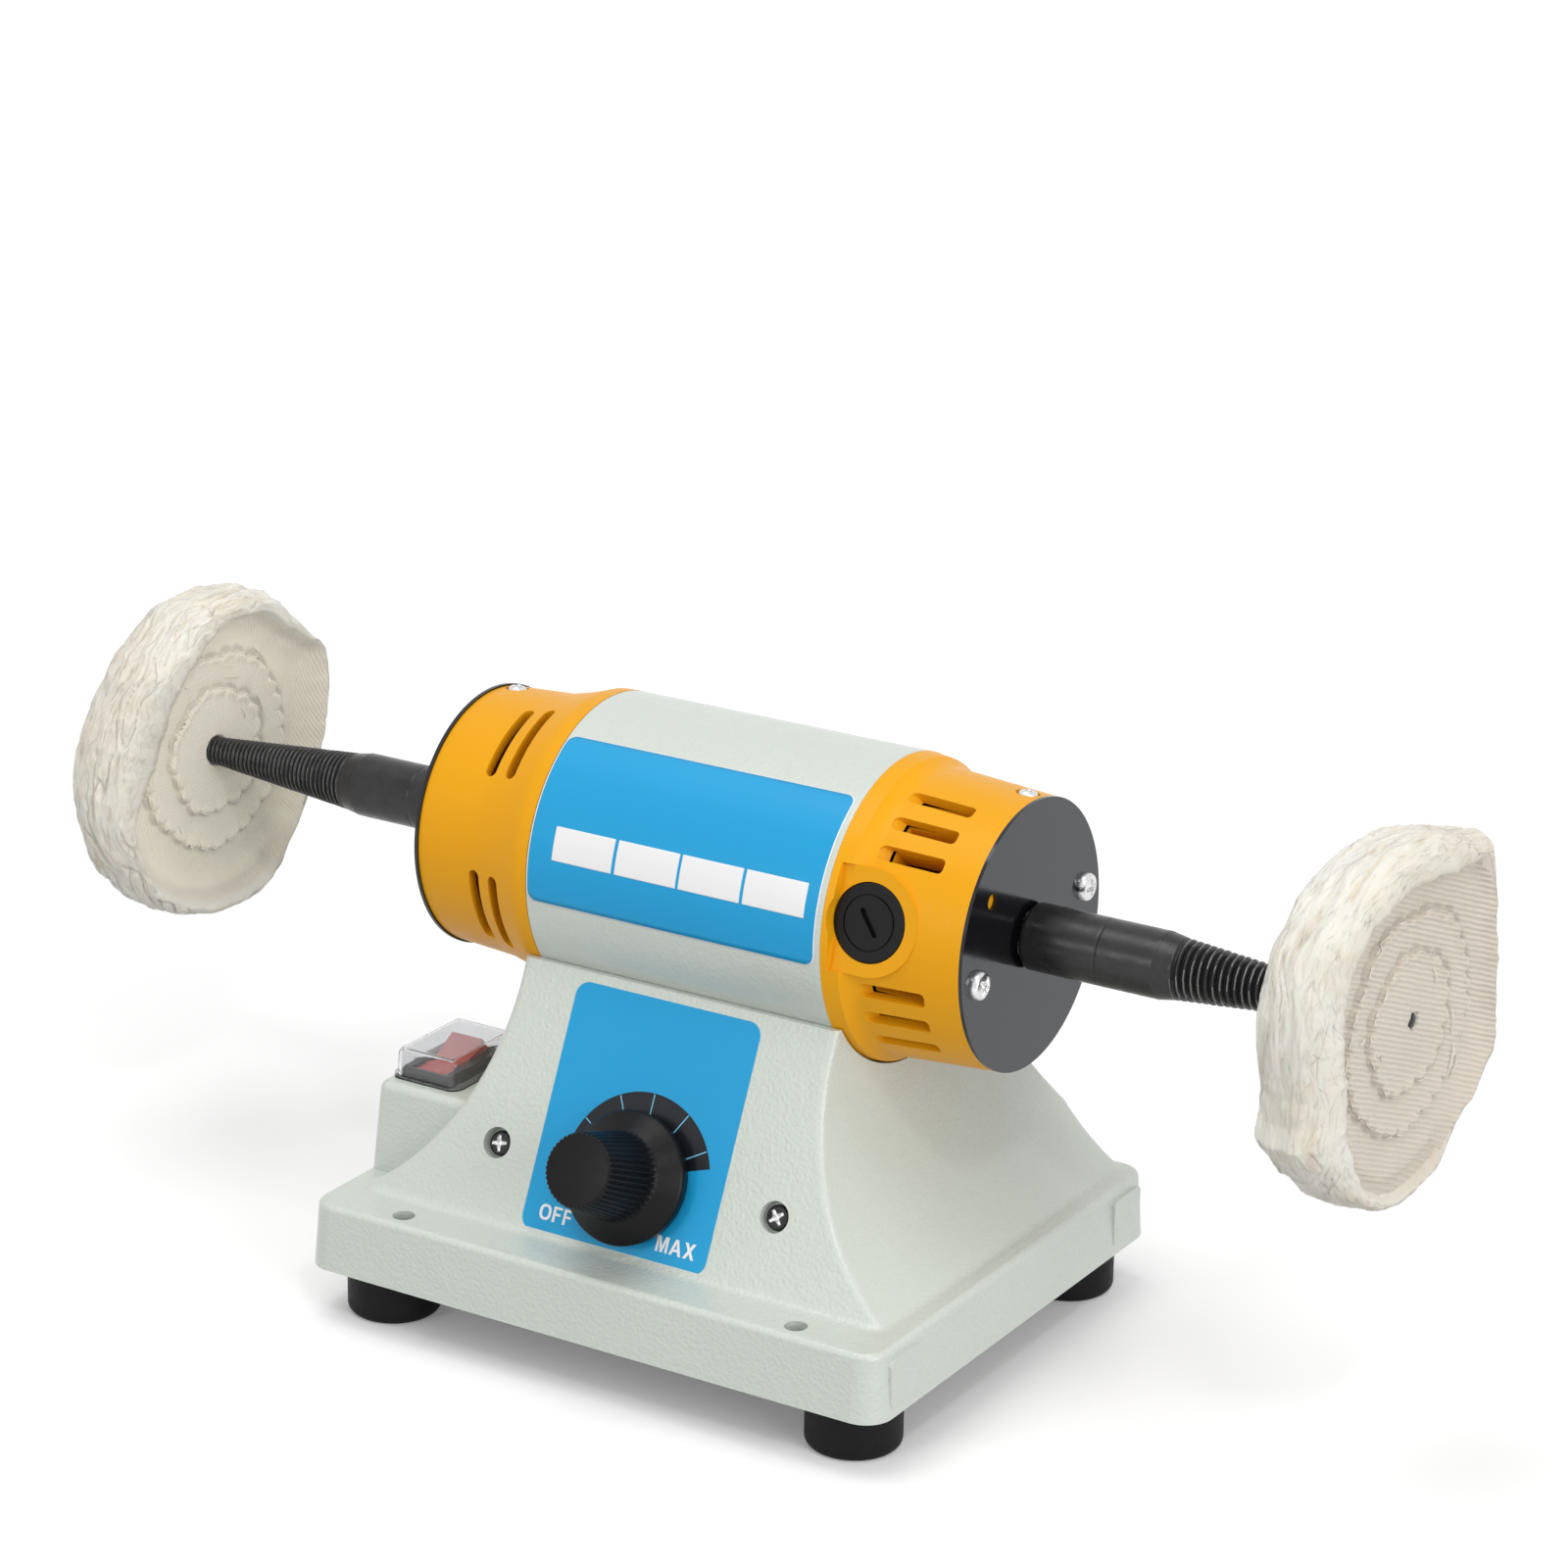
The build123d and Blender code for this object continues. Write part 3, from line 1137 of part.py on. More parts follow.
KNOB_SECTION = Plane(origin=pot_centre.origin, x_dir=PANEL.z_dir, z_dir=(-1, 0, 0))
with BuildPart() as speed_knob:
    with BuildSketch(KNOB_SECTION):
        with BuildLine():
            Polyline(
                (KNOB_LIFT, 0),
                (KNOB_LIFT, KNOB_SKIRT_R - 0.8),
                (KNOB_LIFT + KNOB_RIM_H, KNOB_SKIRT_R),
                (KNOB_LIFT + KNOB_CONE_H, KNOB_GRIP_R + 0.3),
                (KNOB_LIFT + KNOB_H, KNOB_FACE_R),
                (KNOB_LIFT + KNOB_H, 0),
                close=True,
            )
        make_face()
    revolve(axis=Axis(pot_centre.origin, PANEL.z_dir))
    fillet(speed_knob.edges().group_by(Axis(pot_centre.origin, PANEL.z_dir))[-1], 0.7)
    with BuildSketch(pot_centre.offset(KNOB_LIFT + KNOB_CONE_H)):
        with PolarLocations(KNOB_GRIP_R + 0.15, KNOB_FLUTES):
            Circle(FLUTE_R)
    extrude(amount=KNOB_H, mode=Mode.SUBTRACT, taper=5.4)
    with BuildSketch(pot_centre.offset(KNOB_LIFT)):
        Circle(KNOB_SKIRT_R - 3)
        Circle(POT_SHAFT_R + 2.5, mode=Mode.SUBTRACT)
    extrude(amount=KNOB_RIM_H, mode=Mode.SUBTRACT)
    with BuildSketch(pot_centre.offset(KNOB_LIFT)):
        Circle(POT_NUT_R + RUNNING)
    extrude(amount=KNOB_RIM_H, mode=Mode.SUBTRACT)
    with BuildSketch(pot_centre.offset(KNOB_LIFT)):
        Circle(POT_SHAFT_R + PRESS)
    extrude(amount=SHAFT_END_LIFT - KNOB_LIFT + 0.3, mode=Mode.SUBTRACT)
speed_knob.part.label = "speed_knob"
export_step(speed_knob.part, "parts/speed_knob.step")

# Control board on its two stand-offs, with its screws, nuts and main components
board_plane = on_panel(0, KNOB_UP, BOARD_DEPTH)
with BuildPart() as control_board:
    with BuildSketch(board_plane):
        RectangleRounded(BOARD_W, BOARD_H, 2)
        with Locations(*[(s * PANEL_SCREW_X, 0) for s in (-1, 1)]):
            Circle(PANEL_SCREW_R + FIT, mode=Mode.SUBTRACT)
    extrude(amount=-BOARD_T)
control_board.part.label = "control_board"
export_step(control_board.part, "parts/control_board.step")

with BuildPart() as panel_screws:
    with BuildSketch(PANEL.offset(-PANEL_RECESS_H)):
        with Locations(*PANEL_SCREWS):
            Circle(PANEL_HEAD_R)
    extrude(amount=2.2)
    top_edges = panel_screws.edges().group_by(Axis(PANEL.origin, PANEL.z_dir))[-1]
    fillet(top_edges, 1.2)
    with BuildSketch(PANEL.offset(-PANEL_RECESS_H)):
        with Locations(*PANEL_SCREWS):
            Circle(PANEL_SCREW_R)
    extrude(amount=-(BOARD_DEPTH + BOARD_T + 4 - PANEL_RECESS_H))
panel_screws.part.label = "panel_screws"
export_step(panel_screws.part, "parts/panel_screws.step")

with BuildPart() as panel_screw_nuts:
    with BuildSketch(PANEL.offset(-BOARD_DEPTH - BOARD_T)):
        with Locations(*PANEL_SCREWS):
            RegularPolygon(2 * PANEL_SCREW_R, 6)
            Circle(PANEL_SCREW_R + 0.05, mode=Mode.SUBTRACT)
    extrude(amount=-3)
panel_screw_nuts.part.label = "panel_screw_nuts"
export_step(panel_screw_nuts.part, "parts/panel_screw_nuts.step")

board_back = board_plane.offset(-BOARD_T)
with BuildPart() as heat_sink:
    with BuildSketch(board_back):
        with Locations((22, 0)):
            Rectangle(22, 3)
            with GridLocations(4.5, 0, 5, 1):
                with Locations((0, 5)):
                    Rectangle(1.5, 10)
    extrude(amount=-16)
heat_sink.part.label = "heat_sink"
export_step(heat_sink.part, "parts/heat_sink.step")

with BuildPart() as triac:
    with BuildSketch(board_back.offset(-3)):
        with Locations((22, -4)):
            Rectangle(10, 4.4)
    extrude(amount=-10)
    with BuildSketch(board_back):
        with Locations(*[(22 + 2.5 * k, -4) for k in (-1, 0, 1)]):
            Rectangle(1, 0.8)
    extrude(amount=-4)
triac.part.label = "triac"
export_step(triac.part, "parts/triac.step")

with BuildPart() as capacitor:
    with BuildSketch(board_back):
        with Locations((-26, 2)):
            RectangleRounded(20, 9, 1)
    extrude(amount=-15)
capacitor.part.label = "capacitor"
export_step(capacitor.part, "parts/capacitor.step")

with BuildPart() as choke:
    with BuildSketch(board_back):
        with Locations((-4, -2)):
            Circle(8)
            Circle(3.4, mode=Mode.SUBTRACT)
    extrude(amount=-8)
    fillet(choke.edges().group_by(Axis(PANEL.origin, PANEL.z_dir))[0], 1.5)
choke.part.label = "choke"
export_step(choke.part, "parts/choke.step")

# Rocker switch in the pod
opening_l = 2 * sqrt(ROCKER_REACH**2 + (ROCKER_MID_H + ROCKER_REACH * tan(radians(ROCKER_TILT))) ** 2)
opening_l += 2 * RUNNING
WELL_DEPTH = BEZEL_T + 4.6
with BuildPart() as switch_body:
    with BuildSketch(Plane.XY.offset(POD_TOP)):
        with Locations((SWITCH_X, SWITCH_Y)):
            RectangleRounded(BEZEL_W, BEZEL_L, 1.5)
    extrude(amount=BEZEL_T)
    chamfer(switch_body.edges().group_by(Axis.Z)[-1], 0.8)
    with BuildSketch(Plane.XY.offset(POD_TOP)):
        with Locations((SWITCH_X, SWITCH_Y)):
            Rectangle(SWITCH_BODY_W, SWITCH_CUT[1] - 2 * FIT)
    extrude(amount=-SWITCH_BODY_H)
    with BuildSketch(Plane.XY.offset(POD_TOP + BEZEL_T)):
        with Locations((SWITCH_X, SWITCH_Y)):
            Rectangle(ROCKER_W + 2 * RUNNING, opening_l)
    extrude(amount=-WELL_DEPTH, mode=Mode.SUBTRACT)
    with BuildSketch(Plane.YZ.offset(SWITCH_X)):
        with Locations((SWITCH_Y, PIVOT_Z)):
            Circle(PIVOT_R + 0.08)
    extrude(amount=ROCKER_W / 2 + PIVOT_L + 0.3, both=True, mode=Mode.SUBTRACT)
switch_body.part.label = "switch_body"
export_step(switch_body.part, "parts/switch_body.step")

ROCKER_PLANE = Plane(
    origin=(SWITCH_X, SWITCH_Y, PIVOT_Z),
    x_dir=(0, cos(radians(ROCKER_TILT)), sin(radians(ROCKER_TILT))),
    z_dir=(1, 0, 0),
)
end_h = ROCKER_MID_H + ROCKER_REACH * tan(radians(ROCKER_TILT))
reach = sqrt(ROCKER_REACH**2 + end_h**2)
with BuildPart() as switch_rocker:
    with BuildSketch(ROCKER_PLANE):
        with BuildLine():
            low_y = sqrt(reach**2 - 1.5**2)
            mid = sqrt(reach**2 - 2.0**2)
            Polyline((-ROCKER_REACH, end_h), (0, ROCKER_MID_H), (ROCKER_REACH, end_h))
            ThreePointArc((ROCKER_REACH, end_h), (mid, 2.0), (low_y, 1.5))
            Polyline((low_y, 1.5), (0, -1.8), (-low_y, 1.5))
            ThreePointArc((-low_y, 1.5), (-mid, 2.0), (-ROCKER_REACH, end_h))
        make_face()
    extrude(amount=ROCKER_W / 2, both=True)
    with BuildSketch(Plane.YZ.offset(SWITCH_X)):
        with Locations((SWITCH_Y, PIVOT_Z)):
            Circle(PIVOT_R)
    extrude(amount=ROCKER_W / 2 + PIVOT_L, both=True)
switch_rocker.part.label = "switch_rocker"
export_step(switch_rocker.part, "parts/switch_rocker.step")

with BuildPart() as switch_terminals:
    with BuildSketch(Plane.XY.offset(POD_TOP - SWITCH_BODY_H)):
        with Locations(*[(SWITCH_X + dx, SWITCH_Y + dy) for dx in (-3.5, 3.5) for dy in (-5, 5)]):
            Rectangle(0.8, 4.8)
    extrude(amount=-8)
switch_terminals.part.label = "switch_terminals"
export_step(switch_terminals.part, "parts/switch_terminals.step")

with BuildPart() as switch_cover:
    with BuildSketch(Plane.XY.offset(POD_TOP)):
        with Locations((SWITCH_X + 0.6, COVER_Y)):
            RectangleRounded(*COVER_SIZE, 3)
    extrude(amount=COVER_H, taper=3)
    fillet(switch_cover.edges().group_by(Axis.Z)[-1], 2)
    offset(amount=-CLEAR_T, openings=switch_cover.faces().sort_by(Axis.Z)[0])
    with BuildSketch(Plane.XY.offset(POD_TOP)):
        with Locations((SWITCH_X + 0.6, COVER_Y)):
            RectangleRounded(COVER_SIZE[0] + 1.6, COVER_SIZE[1] + 1.6, 3.6)
            RectangleRounded(COVER_SIZE[0] - 1.6, COVER_SIZE[1] - 1.6, 2.2, mode=Mode.SUBTRACT)
    extrude(amount=1.0)
switch_cover.part.label = "switch_cover"
export_step(switch_cover.part, "parts/switch_cover.step")

# Cord gland: a moulded sleeve through the rear wall
with BuildPart() as cord_gland:
    with BuildSketch(REAR_WALL):
        Circle(GLAND_R)
    extrude(amount=GLAND_HEAD_L, taper=8)
    with BuildSketch(REAR_WALL):
        Circle(GLAND_NECK_R)
    extrude(amount=-WALL - 3)
    with BuildSketch(REAR_WALL.offset(-WALL - 0.3)):
        Circle(GLAND_R)
    extrude(amount=-2.5)
    with BuildSketch(REAR_WALL.offset(-WALL - 3)):
        Circle(CORD_GRIP_R)
    extrude(amount=WALL + 4, mode=Mode.SUBTRACT)
    with BuildSketch(REAR_WALL):
        Circle(CORD_BORE_R)
    extrude(amount=GLAND_HEAD_L, mode=Mode.SUBTRACT)
cord_gland.part.label = "cord_gland"
export_step(cord_gland.part, "parts/cord_gland.step")
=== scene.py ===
from math import copysign, cos, degrees, exp, hypot, pi, radians, sin, sqrt, tan

import bmesh
import bpy
import numpy as np
from mathutils import Matrix, Vector, noise


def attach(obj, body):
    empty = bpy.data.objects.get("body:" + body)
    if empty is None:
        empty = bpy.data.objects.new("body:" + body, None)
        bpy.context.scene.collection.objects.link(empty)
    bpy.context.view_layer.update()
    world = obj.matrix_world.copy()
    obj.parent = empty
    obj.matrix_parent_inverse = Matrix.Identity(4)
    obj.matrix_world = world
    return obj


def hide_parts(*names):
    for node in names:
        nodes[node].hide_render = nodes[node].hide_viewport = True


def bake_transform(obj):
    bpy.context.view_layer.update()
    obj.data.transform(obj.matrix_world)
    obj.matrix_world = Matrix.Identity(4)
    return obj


# Bench polishing machine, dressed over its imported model. Lengths are in millimetres until
# mesh_piece turns them into metres; camera, lamps, floor and textures are in metres throughout.
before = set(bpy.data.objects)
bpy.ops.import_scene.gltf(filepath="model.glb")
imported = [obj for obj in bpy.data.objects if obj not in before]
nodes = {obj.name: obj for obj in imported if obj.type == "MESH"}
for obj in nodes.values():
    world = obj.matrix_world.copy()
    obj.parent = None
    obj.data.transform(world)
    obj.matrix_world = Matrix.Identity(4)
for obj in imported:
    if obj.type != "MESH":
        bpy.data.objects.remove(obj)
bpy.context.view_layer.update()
MM = 0.001

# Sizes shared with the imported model. Pairs of numbers are for the left and the right side.
SHAFT_Y, SHAFT_Z = 8.2, 123.4
CASE_R = 42.0
HOUSING_END = 85.5
BRUSH_ANGLE = 13.6
ROOT_X = 87.05
STEPS = (130.0, 126.5)
TIPS = (200.0, 196.0)
SHANK_R, TAPER_ROOT_R, TAPER = 9.1, 8.3, 0.0845
STEP_L, TIP_L = 4.0, 2.6
PANEL_FOOT = Vector((0, -58.8, 34.4))
PANEL_ANGLE = radians(65.36)
PANEL_UP = Vector((0, cos(PANEL_ANGLE), sin(PANEL_ANGLE)))
PANEL_OUT = Vector((0, -sin(PANEL_ANGLE), cos(PANEL_ANGLE)))
DIAL_UP = 21.3
SIDES = (("left", -1, 0), ("right", 1, 1))


# Camera, world and lamps

def rotation(yaw, pitch, roll):
    """Camera axes from its angle round the object, its height above the horizon and its roll."""
    flat = cos(pitch)
    back = Vector((sin(yaw) * flat, -cos(yaw) * flat, sin(pitch)))
    right = Vector((cos(yaw), sin(yaw), 0))
    up = back.cross(right)
    turned_right = cos(roll) * right + sin(roll) * up
    turned_up = cos(roll) * up - sin(roll) * right
    return Matrix((turned_right, turned_up, back)).transposed()


def add(name, data):
    """A new object in the scene."""
    made = bpy.data.objects.new(name, data)
    bpy.context.scene.collection.objects.link(made)
    return made


camera = add("camera", bpy.data.cameras.new("camera"))
CAMERA_PLACE = (0.63407, -1.00673, 0.55663)
CAMERA_TURN = rotation(0.551683, 0.328528, 0.015601)
camera.matrix_world = Matrix.Translation(CAMERA_PLACE) @ CAMERA_TURN.to_4x4()
camera.data.sensor_width = 36.0
camera.data.lens = 107.63
camera.data.clip_start = 0.05
bpy.context.scene.camera = camera
bpy.context.scene.view_settings.view_transform = "Standard"

world = bpy.data.worlds.new("studio")
bpy.context.scene.world = world
world.use_nodes = True


def seen_share(tree):
    """1 for rays that show a surface to the eye, also by gloss or glass, and 0 for its light."""
    path = tree.nodes.new("ShaderNodeLightPath")
    share = path.outputs["Is Camera Ray"]
    for name in ("Is Glossy Ray", "Is Transmission Ray"):
        most = tree.nodes.new("ShaderNodeMath")
        most.operation = "MAXIMUM"
        tree.links.new(share, most.inputs[0])
        tree.links.new(path.outputs[name], most.inputs[1])
        share = most.outputs[0]
    return share


SKY_LIGHT, SKY_SEEN = 0.64, 1.0
sky = world.node_tree.nodes["Background"]
sky.inputs["Color"].default_value = (1.0, 1.0, 1.0, 1.0)
sky_strength = world.node_tree.nodes.new("ShaderNodeMapRange")
sky_strength.inputs["To Min"].default_value = SKY_LIGHT
sky_strength.inputs["To Max"].default_value = SKY_SEEN
world.node_tree.links.new(seen_share(world.node_tree), sky_strength.inputs["Value"])
world.node_tree.links.new(sky_strength.outputs["Result"], sky.inputs["Strength"])


def area_light(name, place, aim, size, power):
    """Rectangular lamp of a size in metres and a power in watts, turned towards its aim."""
    data = bpy.data.lights.new(name, "AREA")
    data.shape = "RECTANGLE"
    data.size, data.size_y = size
    data.energy = power
    light = add(name, data)
    light.location = place
    light.rotation_euler = (Vector(aim) - Vector(place)).to_track_quat("-Z", "Y").to_euler()


area_light("top_softbox", (-0.2, -0.2, 1.6), (0, 0, 0.1), (0.9, 0.9), 7.4)
area_light("front_softbox", (-0.55, -1.7, 0.75), (0, 0, 0.08), (0.35, 0.5), 3.0)
area_light("right_softbox", (2.8, -0.95, 0.95), (0, 0, 0.1), (1.5, 1.5), 34.0)
area_light("ridge_light", (0.6, -0.62, 1.1), (0.05, -0.05, 0.07), (0.14, 0.14), 1.8)


# Materials

class Paint:
    """A principled material with helpers for the nodes that feed it."""

    def __init__(self, name, color, roughness, metallic=0.0, **plain):
        self.mat = bpy.data.materials.new(name)
        self.mat.use_nodes = True
        self.tree = self.mat.node_tree
        self.shader = self.tree.nodes["Principled BSDF"]
        self.color = color
        self.roughness = roughness
        self.shader.inputs["Base Color"].default_value = (*color, 1)
        self.shader.inputs["Roughness"].default_value = roughness
        self.shader.inputs["Metallic"].default_value = metallic
        for key, value in plain.items():
            self.shader.inputs[key.replace("_", " ")].default_value = value
        self.coordinates = self.node("ShaderNodeTexCoord").outputs["Object"]
        self.normal = None

    def node(self, kind, numbers=None, **values):
        """A new node with its settings and the plain numbers of its inputs."""
        made = self.tree.nodes.new(kind)
        for key, value in values.items():
            setattr(made, key, value)
        for key, number in (numbers or {}).items():
            made.inputs[key].default_value = number
        return made

    def put(self, socket, value):
        """Links a socket's value to an input, or sets a plain number."""
        if hasattr(value, "links"):
            self.tree.links.new(value, socket)
        else:
            socket.default_value = value

    def scaled(self, scale=(1, 1, 1), turn=(0, 0, 0)):
        mapping = self.node("ShaderNodeMapping", {"Scale": scale, "Rotation": turn})
        self.put(mapping.inputs["Vector"], self.coordinates)
        return mapping.outputs["Vector"]

    def noise(self, scale, detail=2.0, roughness=0.5, distortion=0.0, vector=None):
        made = self.node("ShaderNodeTexNoise", {"Scale": scale, "Detail": detail,
                                                "Roughness": roughness, "Distortion": distortion})
        self.put(made.inputs["Vector"], vector or self.coordinates)
        return made.outputs["Fac"]

    def wave(self, scale, distortion=0.0, vector=None, direction="X"):
        made = self.node("ShaderNodeTexWave", bands_direction=direction,
                         numbers={"Scale": scale, "Distortion": distortion, "Detail": 2.0})
        self.put(made.inputs["Vector"], vector or self.coordinates)
        return made.outputs["Fac"]

    def spread(self, value, low, high, out_low=0.0, out_high=1.0):
        """The value's range from low to high, mapped to another range and cut off beyond it."""
        made = self.node("ShaderNodeMapRange", {"From Min": low, "From Max": high,
                                                "To Min": out_low, "To Max": out_high})
        self.put(made.inputs["Value"], value)
        return made.outputs["Result"]

    def math(self, operation, first, second):
        made = self.node("ShaderNodeMath", operation=operation)
        self.put(made.inputs[0], first)
        self.put(made.inputs[1], second)
        return made.outputs[0]

    def mix(self, factor, first, second):
        made = self.node("ShaderNodeMix", data_type="RGBA")
        self.put(made.inputs[0], factor)
        self.put(made.inputs[6], first if hasattr(first, "links") else (*first, 1))
        self.put(made.inputs[7], second if hasattr(second, "links") else (*second, 1))
        return made.outputs[2]

    def shades(self, factor, low, high):
        """Base colour between a darker and a lighter shade of its own."""
        darker = [c * low for c in self.color]
        lighter = [min(1, c * high) for c in self.color]
        self.paint(self.mix(factor, darker, lighter))

    def paint(self, color):
        self.put(self.shader.inputs["Base Color"], color)

    def rough(self, factor, spread=0.06):
        """Roughness that wanders a little about its plain value."""
        self.put(self.shader.inputs["Roughness"],
                 self.spread(factor, 0.3, 0.7, self.roughness - spread, self.roughness + spread))

    def bump(self, height, strength, depth):
        """One more layer of relief, laid over the layers before it."""
        made = self.node("ShaderNodeBump", {"Strength": strength, "Distance": depth})
        self.put(made.inputs["Height"], height)
        if self.normal is not None:
            self.put(made.inputs["Normal"], self.normal)
        self.normal = made.outputs["Normal"]
        self.put(self.shader.inputs["Normal"], self.normal)


def orange_peel(name, color, grain, depth):
    """Sprayed paint with a fine grain over slow waves."""
    paint = Paint(name, color, 0.38, Coat_Weight=0.35, Coat_Roughness=0.2)
    paint.shades(paint.noise(9, 3), 0.965, 1.03)
    paint.rough(paint.noise(160, 2))
    paint.bump(paint.noise(grain, 1.5, 0.45), 0.9, depth)
    paint.bump(paint.noise(120, 1), 0.4, 0.0004)
    return paint.mat


def moulded(name, color, roughness, grain=1500.0, depth=0.00004, specular=0.5):
    """Plastic, rubber or print with a faint moulded grain."""
    plastic = Paint(name, color, roughness, Specular_IOR_Level=specular)
    plastic.shades(plastic.noise(22, 3), 0.95, 1.04)
    plastic.rough(plastic.noise(420, 2), 0.05)
    plastic.bump(plastic.noise(grain, 1), 0.4, depth)
    return plastic.mat


def metal(name, color, roughness, lines=(1, 1, 1)):
    """Bare or plated metal, drawn along an axis where lines gives the others a smaller scale."""
    steel = Paint(name, color, roughness, 1.0)
    steel.shades(steel.noise(40, 3), 0.88, 1.08)
    drawn = steel.noise(900, 2, 0.6, vector=steel.scaled(lines))
    steel.rough(drawn, 0.08)
    steel.bump(drawn, 0.4, 0.00003)
    return steel.mat


def black_steel(name, color, roughness):
    """Blackened steel, patchy in tone, with fine marks from turning round the shaft."""
    steel = Paint(name, color, roughness, 0.6)
    steel.shades(steel.noise(130, 4, 0.65), 0.6, 1.5)
    steel.rough(steel.noise(300, 3), 0.08)
    steel.bump(steel.noise(5200, 2, 0.6, vector=steel.scaled((1, 0.02, 0.02))), 0.3, 0.00002)
    return steel.mat


def layered(name, color, roughness, waves, shades, depth, **bands):
    """Metal in layers or windings, from bands of a wave."""
    stack = Paint(name, color, roughness, 0.9)
    sheets = stack.wave(*waves, **bands)
    stack.shades(sheets, *shades)
    stack.bump(sheets, 0.6, depth)
    return stack.mat


casting_paint = orange_peel("casting_paint", (0.582, 0.630, 0.574), 900, 0.00028)
drum_paint = orange_peel("drum_paint", (0.575, 0.622, 0.572), 900, 0.0002)
yellow = moulded("yellow_plastic", (0.80, 0.362, 0.006), 0.38, 1100, 0.00006, 0.16)
rubber = moulded("rubber", (0.008, 0.008, 0.009), 0.55, 900, 0.00008, 0.15)
zinc = metal("zinc_steel", (0.74, 0.74, 0.75), 0.26)
black_sheet = moulded("black_sheet", (0.025, 0.025, 0.028), 0.45, 800, 0.00005)
gloss = Paint("plate_black", (0.004, 0.004, 0.005), 0.12, IOR=1.52,
              Specular_Tint=(0.82, 0.89, 1.0, 1.0))
gloss.shades(gloss.noise(30, 3), 0.9, 1.2)
gloss.rough(gloss.noise(60, 3), 0.03)
gloss.bump(gloss.noise(500, 2), 0.12, 0.00002)
plate_black = gloss.mat
blackened = black_steel("blackened_steel", (0.034, 0.033, 0.033), 0.30)
# Nearly black and rough: painted shade in the thread's valleys and at the spindle's root beside the
# plate
painted_shade_steel = black_steel("painted_shade_steel", (0.005, 0.005, 0.005), 0.6)
# Lighter steel on the thread's tips: wear, with a painted highlight along them
worn_crest_highlight = black_steel("worn_crest_highlight", (0.15, 0.15, 0.15), 0.28)
bearing_steel = metal("bearing_steel", (0.78, 0.78, 0.79), 0.18)
lamination = layered("lamination_steel", (0.20, 0.20, 0.22), 0.42, (320,), (0.7, 1.3), 0.0002)
copper = layered("copper", (0.58, 0.22, 0.10), 0.35, (260, 3.0), (0.7, 1.25), 0.0003,
                 direction="DIAGONAL")
brass = metal("brass", (0.72, 0.50, 0.20), 0.28)
carbon = moulded("carbon", (0.02, 0.02, 0.022), 0.6, 1300, 0.00006)
knob_black = moulded("knob_black", (0.005, 0.005, 0.006), 0.34, 1700, 0.00004, 0.16)
cap_black = moulded("cap_black", (0.008, 0.008, 0.009), 0.46, 1500, 0.00005, 0.17)
switch_black = moulded("switch_black", (0.010, 0.010, 0.011), 0.35, 1500, 0.00004, 0.3)
red = moulded("red_plastic", (0.62, 0.035, 0.025), 0.24, 900, 0.00003)
glassy = Paint("clear_plastic", (0.84, 0.85, 0.86), 0.06, Transmission_Weight=0.96, IOR=1.42)
glassy.rough(glassy.noise(90, 2), 0.04)
glassy.bump(glassy.noise(120, 1), 0.3, 0.0001)
clear = glassy.mat
board_green = moulded("circuit_board", (0.03, 0.17, 0.06), 0.35, 700, 0.00004)
component = moulded("component_plastic", (0.03, 0.05, 0.14), 0.4)
ferrite = moulded("ferrite", (0.05, 0.045, 0.045), 0.7)
aluminium = metal("aluminium", (0.80, 0.80, 0.82), 0.3, (1, 0.1, 0.1))
spring_steel = metal("spring_steel", (0.62, 0.62, 0.64), 0.22)
label_blue = moulded("label_blue", (0.012, 0.330, 0.640), 0.36, 500, 0.00003, 0.25)
label_white = moulded("label_white", (0.84, 0.84, 0.84), 0.36, 500, 0.00003, 0.25)
dial_black = moulded("dial_black", (0.008, 0.010, 0.014), 0.34, 500, 0.00003, 0.25)
tick_blue = moulded("tick_blue", (0.20, 0.55, 0.80), 0.34, 500, 0.00003, 0.25)


def cotton(name, color, ribs, turn, rib_depth, fuzz, low):
    """Twill in low relief, with painted shade in its valleys, beside its sewn lines and under its
    rim, and blotches of tone.
    """
    cloth = Paint(name, color, 0.92, Sheen_Weight=0.3, Sheen_Roughness=0.6)
    twill = cloth.wave(ribs, 1.3, vector=cloth.scaled((1, 1, 1), turn), direction="Z")
    blotch = cloth.noise(55, 4, 0.6)
    # Painted shade: the colour darkens in the twill's valleys, and random blotches of tone darken
    # it as well
    shade = cloth.math("MULTIPLY", cloth.spread(blotch, 0.3, 0.75, 0.55, 1.0),
                       cloth.spread(twill, 0.0, 0.8, 0.15, 1.0))
    shaded = cloth.mix(shade, tuple(c * low for c in color), tuple(c * 1.06 for c in color))
    # Painted shade: a point attribute of the buff mixes the colour towards a darker one beside the
    # sewn lines and under the fluffy rim
    painted_shade = cloth.node("ShaderNodeAttribute", attribute_name="painted_shade").outputs["Fac"]
    cloth.paint(cloth.mix(painted_shade, shaded, tuple(c * 0.66 for c in color)))
    cloth.bump(twill, 0.9, rib_depth)
    cloth.bump(cloth.noise(1600, 4, 0.7), 0.6, fuzz)
    cloth.bump(cloth.noise(260, 3, 0.6), 0.4, 0.0005)
    return cloth.mat


# One cotton in two copies: the left is painted lighter, as painted light on a face that lies in
# shade, the right painted darker, as painted shade on a face in full lamplight
twill_right_painted_shade = cotton("twill_right_painted_shade", (0.715, 0.65, 0.555), 228, (0.38, 0, 0), 0.0003, 0.00015, 0.84)
twill_left_painted_light = cotton("twill_left_painted_light", (0.90, 0.84, 0.71), 380, (1.25, 0, 0), 0.00018, 0.00015, 0.93)

